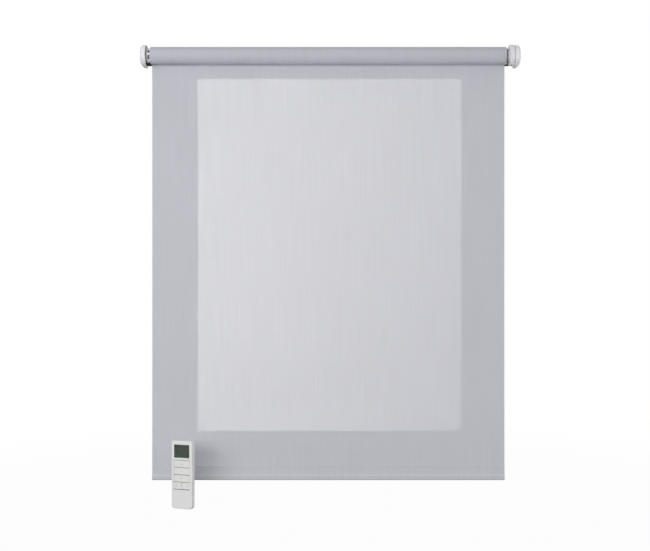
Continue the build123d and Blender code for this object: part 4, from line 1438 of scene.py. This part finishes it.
@dataclass
class Handset:
    """The marks on the handset's keys, and painted shade on the walls of its window.

    Attributes:
        stand: The middle of the handset's foot, on its face.
        yaw: How far it is turned about Z.
        height: How high it is.
        stroke: How thick a mark's lines are.
        reach: Half the width of an arrow head.
        dash_share: Half the width of the bar, in the same measure.
        chevron_rise: The height of an arrow head, in the same measure.
        chevron_lean: Its line's upright half thickness, in half a stroke.
        chevron_tip: How far out and up its line ends past the corner.
        window: The window's width and height.
        window_corner: The radius of its corners.
        corner_steps: Steps round a corner.
        window_from_top: From the handset's top to the window's middle.
        shade_sheet: The painted shade's front and back, measured into the face.
        shade_sheet_insets: How far its two outlines lie inside the window.
        ink: The front and back of a mark, measured into the face.
        rows_from_top: From the handset's top to each row of keys.
        left_mark: The left key's mark, from the face's middle.
        right_mark: The right key's mark, from the face's middle.
    """

    stand: Point = (-306 * MM, -96 * MM, -945 * MM)
    yaw: float = math.radians(-22)
    height: float = 140 * MM
    stroke: float = 0.55 * MM
    reach: float = 2.3 * MM
    dash_share: float = 0.7
    chevron_rise: float = 0.55
    chevron_lean: float = 1.3
    chevron_tip: Pair = (0.2, 0.4)
    window: Pair = (35 * MM, 27 * MM)
    window_corner: float = 1.0 * MM
    corner_steps: int = 4
    window_from_top: float = 21.5 * MM
    shade_sheet: Pair = (0.1 * MM, 1.48 * MM)
    shade_sheet_insets: Pair = (0.03 * MM, 0.3 * MM)
    ink: Pair = (-0.03 * MM, 0.05 * MM)
    rows_from_top: tuple[float, ...] = (48 * MM, 62.5 * MM, 77 * MM, 92.5 * MM)
    left_mark: float = -12.5 * MM
    right_mark: float = 13 * MM

    @property
    def place(self) -> Matrix:
        """Where the handset stands."""
        return Matrix.Translation(self.stand) @ Matrix.Rotation(self.yaw, 4, "Z")

    def chevron(self, heading: Heading) -> Outline:
        """An open arrow head about its middle.

        Args:
            heading: Which way it points.

        Returns:
            Its outline on the face.
        """
        reach, rise, half = self.reach, self.reach * self.chevron_rise, self.stroke / 2
        drop = half * self.chevron_lean
        out, up = half * self.chevron_tip[0], drop * self.chevron_tip[1]
        shape = [
            (-reach, -rise / 2 - drop),
            (0.0, rise / 2 - drop),
            (reach, -rise / 2 - drop),
            (reach + out, -rise / 2 + up),
            (0.0, rise / 2 + drop),
            (-reach - out, -rise / 2 + up),
        ]
        turn = math.radians(heading.value)
        cos, sin = math.cos(turn), math.sin(turn)
        return [(x * cos - z * sin, x * sin + z * cos) for x, z in shape]

    def dash(self) -> Outline:
        """A short bar about its middle."""
        half, rise = self.reach * self.dash_share, self.stroke / 2
        return [(-half, -rise), (half, -rise), (half, rise), (-half, rise)]

    def mark(self, key: str, shape: Outline, at: Pair) -> None:
        """Prints a mark on a key's face.

        Args:
            key: The key's body.
            shape: The mark's outline about its own middle.
            at: How far that lies from the face's middle and from the handset's top.
        """
        x, from_top = at
        outline = [(x + dx, self.height - from_top + dz) for dx, dz in shape]
        made = Workshop.slab(f"{key}_mark", outline, self.ink, self.place, LEGEND_GREY)
        hand_over(made, key, "handset_plastic")

    def rounded(self, inset: float) -> Outline:
        """The window's outline, smaller by an inset.

        Args:
            inset: How far the outline lies inside the window's edge.

        Returns:
            Its outline on the face.
        """
        width, height = (size / 2 - inset for size in self.window)
        corner = self.window_corner
        middle = self.height - self.window_from_top
        points = []
        for quarter, (sx, sz) in enumerate(((1, 1), (-1, 1), (-1, -1), (1, -1))):
            for i in range(self.corner_steps + 1):
                angle = math.radians(90 * (quarter + i / self.corner_steps))
                x = sx * (width - corner) + corner * math.cos(angle)
                z = middle + sz * (height - corner) + corner * math.sin(angle)
                points.append((x, z))
        return points

    def build(self) -> None:
        """Every mark, and the painted shade on the window's walls."""
        up, stop, down, sides = self.rows_from_top
        self.mark("up_key", self.chevron(Heading.UP), (0.0, up))
        self.mark("stop_key", self.dash(), (0.0, stop))
        self.mark("down_key", self.chevron(Heading.DOWN), (0.0, down))
        self.mark("left_key", self.chevron(Heading.LEFT), (self.left_mark, sides))
        self.mark("right_key", self.chevron(Heading.RIGHT), (self.right_mark, sides))
        # Painted shade: a black sheet on the window's walls stands for the shade in
        # that recess.
        outline, opening = (self.rounded(inset) for inset in self.shade_sheet_insets)
        shade_sheet = Workshop.slab(
            "window_painted_shade", outline, self.shade_sheet, self.place, PAINTED_SHADE_BLACK, opening
        )
        hand_over(shade_sheet, "remote", "handset_plastic")


@dataclass(frozen=True)
class Lamp:
    """A soft rectangular lamp that shines on the blind, unseen by the camera.

    Attributes:
        name: The lamp's name.
        at: Its place.
        aim: The point that it faces.
        size: Its width and height.
        power: Its power, in watts.
    """

    name: str
    at: Point
    aim: Point
    size: Pair
    power: float


BLIND_MIDDLE = (0.0, 0.0, -0.45)
HANDSET_SIDE = (-0.3, -0.1, -0.85)
LAMPS = (
    Lamp("key_lamp", (-1.1, -2.6, -0.12), BLIND_MIDDLE, (2.8, 0.9), 54.0),
    Lamp("fill_lamp", (1.5, -2.6, -0.12), BLIND_MIDDLE, (1.6, 0.9), 3.0),
    Lamp("back_lamp", (0.3, 2.6, 0.3), BLIND_MIDDLE, (2.4, 1.2), 16.0),
    Lamp("side_lamp", (2.2, -0.4, -0.85), HANDSET_SIDE, (0.5, 0.5), 19.0),
)


@dataclass
class Studio:
    """The plain pale floor, the soft lamps, the window's light and the camera.

    Attributes:
        floor_z: The floor's height.
        floor_half: Half its width.
        floor_share: How white it is close by, where it still shows a shadow.
        floor_reach: How far out that goes, and as far again to plain white.
        floor_matt: How light its own colour is.
        floor_speck: The size of its uneven places.
        floor_speck_tone: How much those change its tone.
        room: How strong the light from all round is.
        overhead: How much stronger that is from above.
        window_at: The middle of the window behind the cloth.
        window_size: Its width and height.
        window_power: Its power, in watts.
        window_spread: How far its light spreads.
        window_colour: The colour of its light.
        window_slope: How its light changes across and up.
        camera_at: The camera's place.
        camera_lens: Its focal length, in millimetres.
        camera_sensor: The width of its sensor, in millimetres.
        camera_near: The nearest that it sees.
    """

    floor_z: float = -0.9452
    floor_half: float = 8.0
    floor_share: float = 0.975
    floor_reach: float = 0.7
    floor_matt: float = 0.2
    floor_speck: float = 0.4
    floor_speck_tone: float = 0.02
    room: float = 0.28
    overhead: float = 0.8
    window_at: Point = (-0.0012, 0.03, -0.4206)
    window_size: Pair = (0.561, 0.749)
    window_power: float = 0.88
    window_spread: float = math.radians(6)
    window_colour: Colour = (1.0, 0.97, 0.82)
    window_slope: Pair = (-0.65, -0.2)
    camera_at: Point = (-0.0111, -2.5127, -0.4646)
    camera_lens: float = 65.05
    camera_sensor: float = 36.0
    camera_near: float = 0.01

    @staticmethod
    def put(
        name: str, data: bpy.types.ID, at: Point, turned: Sequence[float]
    ) -> Piece:
        """Puts a lamp or the camera into the scene.

        Args:
            name: The object's name.
            data: The lamp or the camera.
            at: Its place.
            turned: Its angles about X, Y and Z.

        Returns:
            The object.
        """
        made = Workshop.link(name, data)
        made.location = at
        made.rotation_euler = turned
        return made

    @classmethod
    def light(
        cls, name: str, at: Point, turned: Sequence[float], size: Pair, power: float
    ) -> Piece:
        """A rectangular lamp that no camera or gloss sees.

        Args:
            name: The lamp's name.
            at: Its place.
            turned: Its angles about X, Y and Z.
            size: Its width and height.
            power: Its power, in watts.

        Returns:
            The lamp's object.
        """
        data = bpy.data.lights.new(name, "AREA")
        data.shape = "RECTANGLE"
        data.size, data.size_y = size
        data.energy = power
        made = cls.put(name, data, at, turned)
        made.visible_camera = False
        made.visible_glossy = False
        return made

    def seen(self, maker: NodeMaker) -> Signal:
        """Which rays should see plain white.

        Args:
            maker: The maker of the nodes that use it.

        Returns:
            1 from the camera, a gloss or through glass, and 0 elsewhere.
        """
        path = maker.node("ShaderNodeLightPath")
        camera, gloss, through, soft = (
            Signal(maker, path.outputs[f"Is {kind} Ray"])
            for kind in ("Camera", "Glossy", "Transmission", "Diffuse")
        )
        return maker.math("MINIMUM", camera + gloss + through * (1.0 - soft), 1.0)

    def world(self) -> None:
        """White behind everything, and a light from all round, stronger from above."""
        world = bpy.data.worlds.new("room")
        bpy.context.scene.world = world
        maker = NodeMaker.of(world)
        _, _, up = maker.parts(maker.value("ShaderNodeTexCoord", (), "Generated"))
        room = (1.0 + up * self.overhead) * self.room
        seen = self.seen(maker)
        light = maker.white("ShaderNodeBackground", room * (1.0 - seen) + seen)
        maker.node("ShaderNodeOutputWorld", {"Surface": light})

    def floor(self) -> None:
        """A white floor that still takes the object's shadow."""
        half = self.floor_half
        corners = [(-half, -half), (half, -half), (half, half), (-half, half)]
        mesh = bpy.data.meshes.new("floor")
        mesh.from_pydata([(x, y, self.floor_z) for x, y in corners], [], [(0, 1, 2, 3)])
        made = Workshop.link("floor", mesh)
        paint = bpy.data.materials.new("floor_paint")
        maker = NodeMaker.of(paint)
        speck = maker.noise(maker.place(), (self.floor_speck,) * 3)
        tone = 1.0 + speck * self.floor_speck_tone
        grey = maker.scaled((self.floor_matt,) * 3, tone)
        matt = maker.value("ShaderNodeBsdfDiffuse", {"Color": grey})
        white = maker.white("ShaderNodeEmission", 1.0)
        x, y, _ = maker.parts(maker.place())
        far = ((x * x + y * y).root() / self.floor_reach - 1.0).clamped()
        share = self.seen(maker) * (self.floor_share + far * (1.0 - self.floor_share))
        mixed = maker.value("ShaderNodeMixShader", [share, matt, white])
        maker.node("ShaderNodeOutputMaterial", {"Surface": mixed})
        mesh.materials.append(paint)

    def window(self) -> None:
        """Daylight through a window behind the cloth."""
        facing = (-QUARTER_TURN, 0, 0)
        made = self.light(
            "window_light", self.window_at, facing, self.window_size, self.window_power
        )
        made.visible_transmission = False
        data = made.data
        data.spread = self.window_spread
        data.color = self.window_colour
        maker = NodeMaker.of(data)
        spot = maker.value("ShaderNodeNewGeometry", (), "Parametric")
        across, up, _ = maker.parts(spot)
        slope_across, slope_up = self.window_slope
        sky = 1.0 + (across - 0.5) * slope_across + (up - 0.5) * slope_up
        light = maker.white("ShaderNodeEmission", sky)
        maker.node("ShaderNodeOutputLight", {"Surface": light})

    def camera(self) -> None:
        """Straight on, at the height of the cloth's middle."""
        data = bpy.data.cameras.new("camera")
        data.sensor_width = self.camera_sensor
        data.lens = self.camera_lens
        data.clip_start = self.camera_near
        made = self.put("camera", data, self.camera_at, (QUARTER_TURN, 0, 0))
        bpy.context.scene.camera = made

    def build(self) -> None:
        """The whole studio."""
        bpy.context.scene.view_settings.view_transform = "Standard"
        self.world()
        self.floor()
        for lamp in LAMPS:
            line = Vector(lamp.aim) - Vector(lamp.at)
            turned = line.to_track_quat("-Z", "Y").to_euler()
            self.light(lamp.name, lamp.at, turned, lamp.size, lamp.power)
        self.window()
        self.camera()


def dress_nodes(nodes: Mapping[str, Piece]) -> None:
    """Gives every carried-over CAD node its finish.

    Args:
        nodes: The CAD nodes by name.
    """
    finishes = {
        name: finish for finish, names in NODE_FINISHES.items() for name in names
    }
    for name, node in nodes.items():
        finish = GEAR_STEEL if name.startswith(PLANET_PREFIX) else finishes.get(name)
        if finish is None:
            continue
        node.data.materials.clear()
        node.data.materials.append(finish.material())
        LOG.info("%s is finished in %s", name, finish.name)


def main() -> None:
    """Builds the whole scene round the frame."""
    logging.basicConfig(level=logging.INFO, format="%(message)s")
    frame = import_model()
    Studio().build()
    dress_nodes(frame["nodes"])
    low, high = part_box("fabric_panel")
    hanging = HangingCloth(low.x, high.x, low.z)
    panel = hanging.panel()
    turn = hanging.last_turn()
    roll = ClothRoll(low.x, high.x).build()
    hem_low, hem_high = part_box("hem_pocket")
    hem = Hem(hem_low.x, hem_high.x, hem_high.z, hem_low.z)
    pocket = hem.pocket()
    weld = hem.marks()
    spring_low, spring_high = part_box("idle_spring")
    PinSpring(spring_low.x, spring_high.x).build()
    Handset().build()


if __name__ == "__main__":
    main()
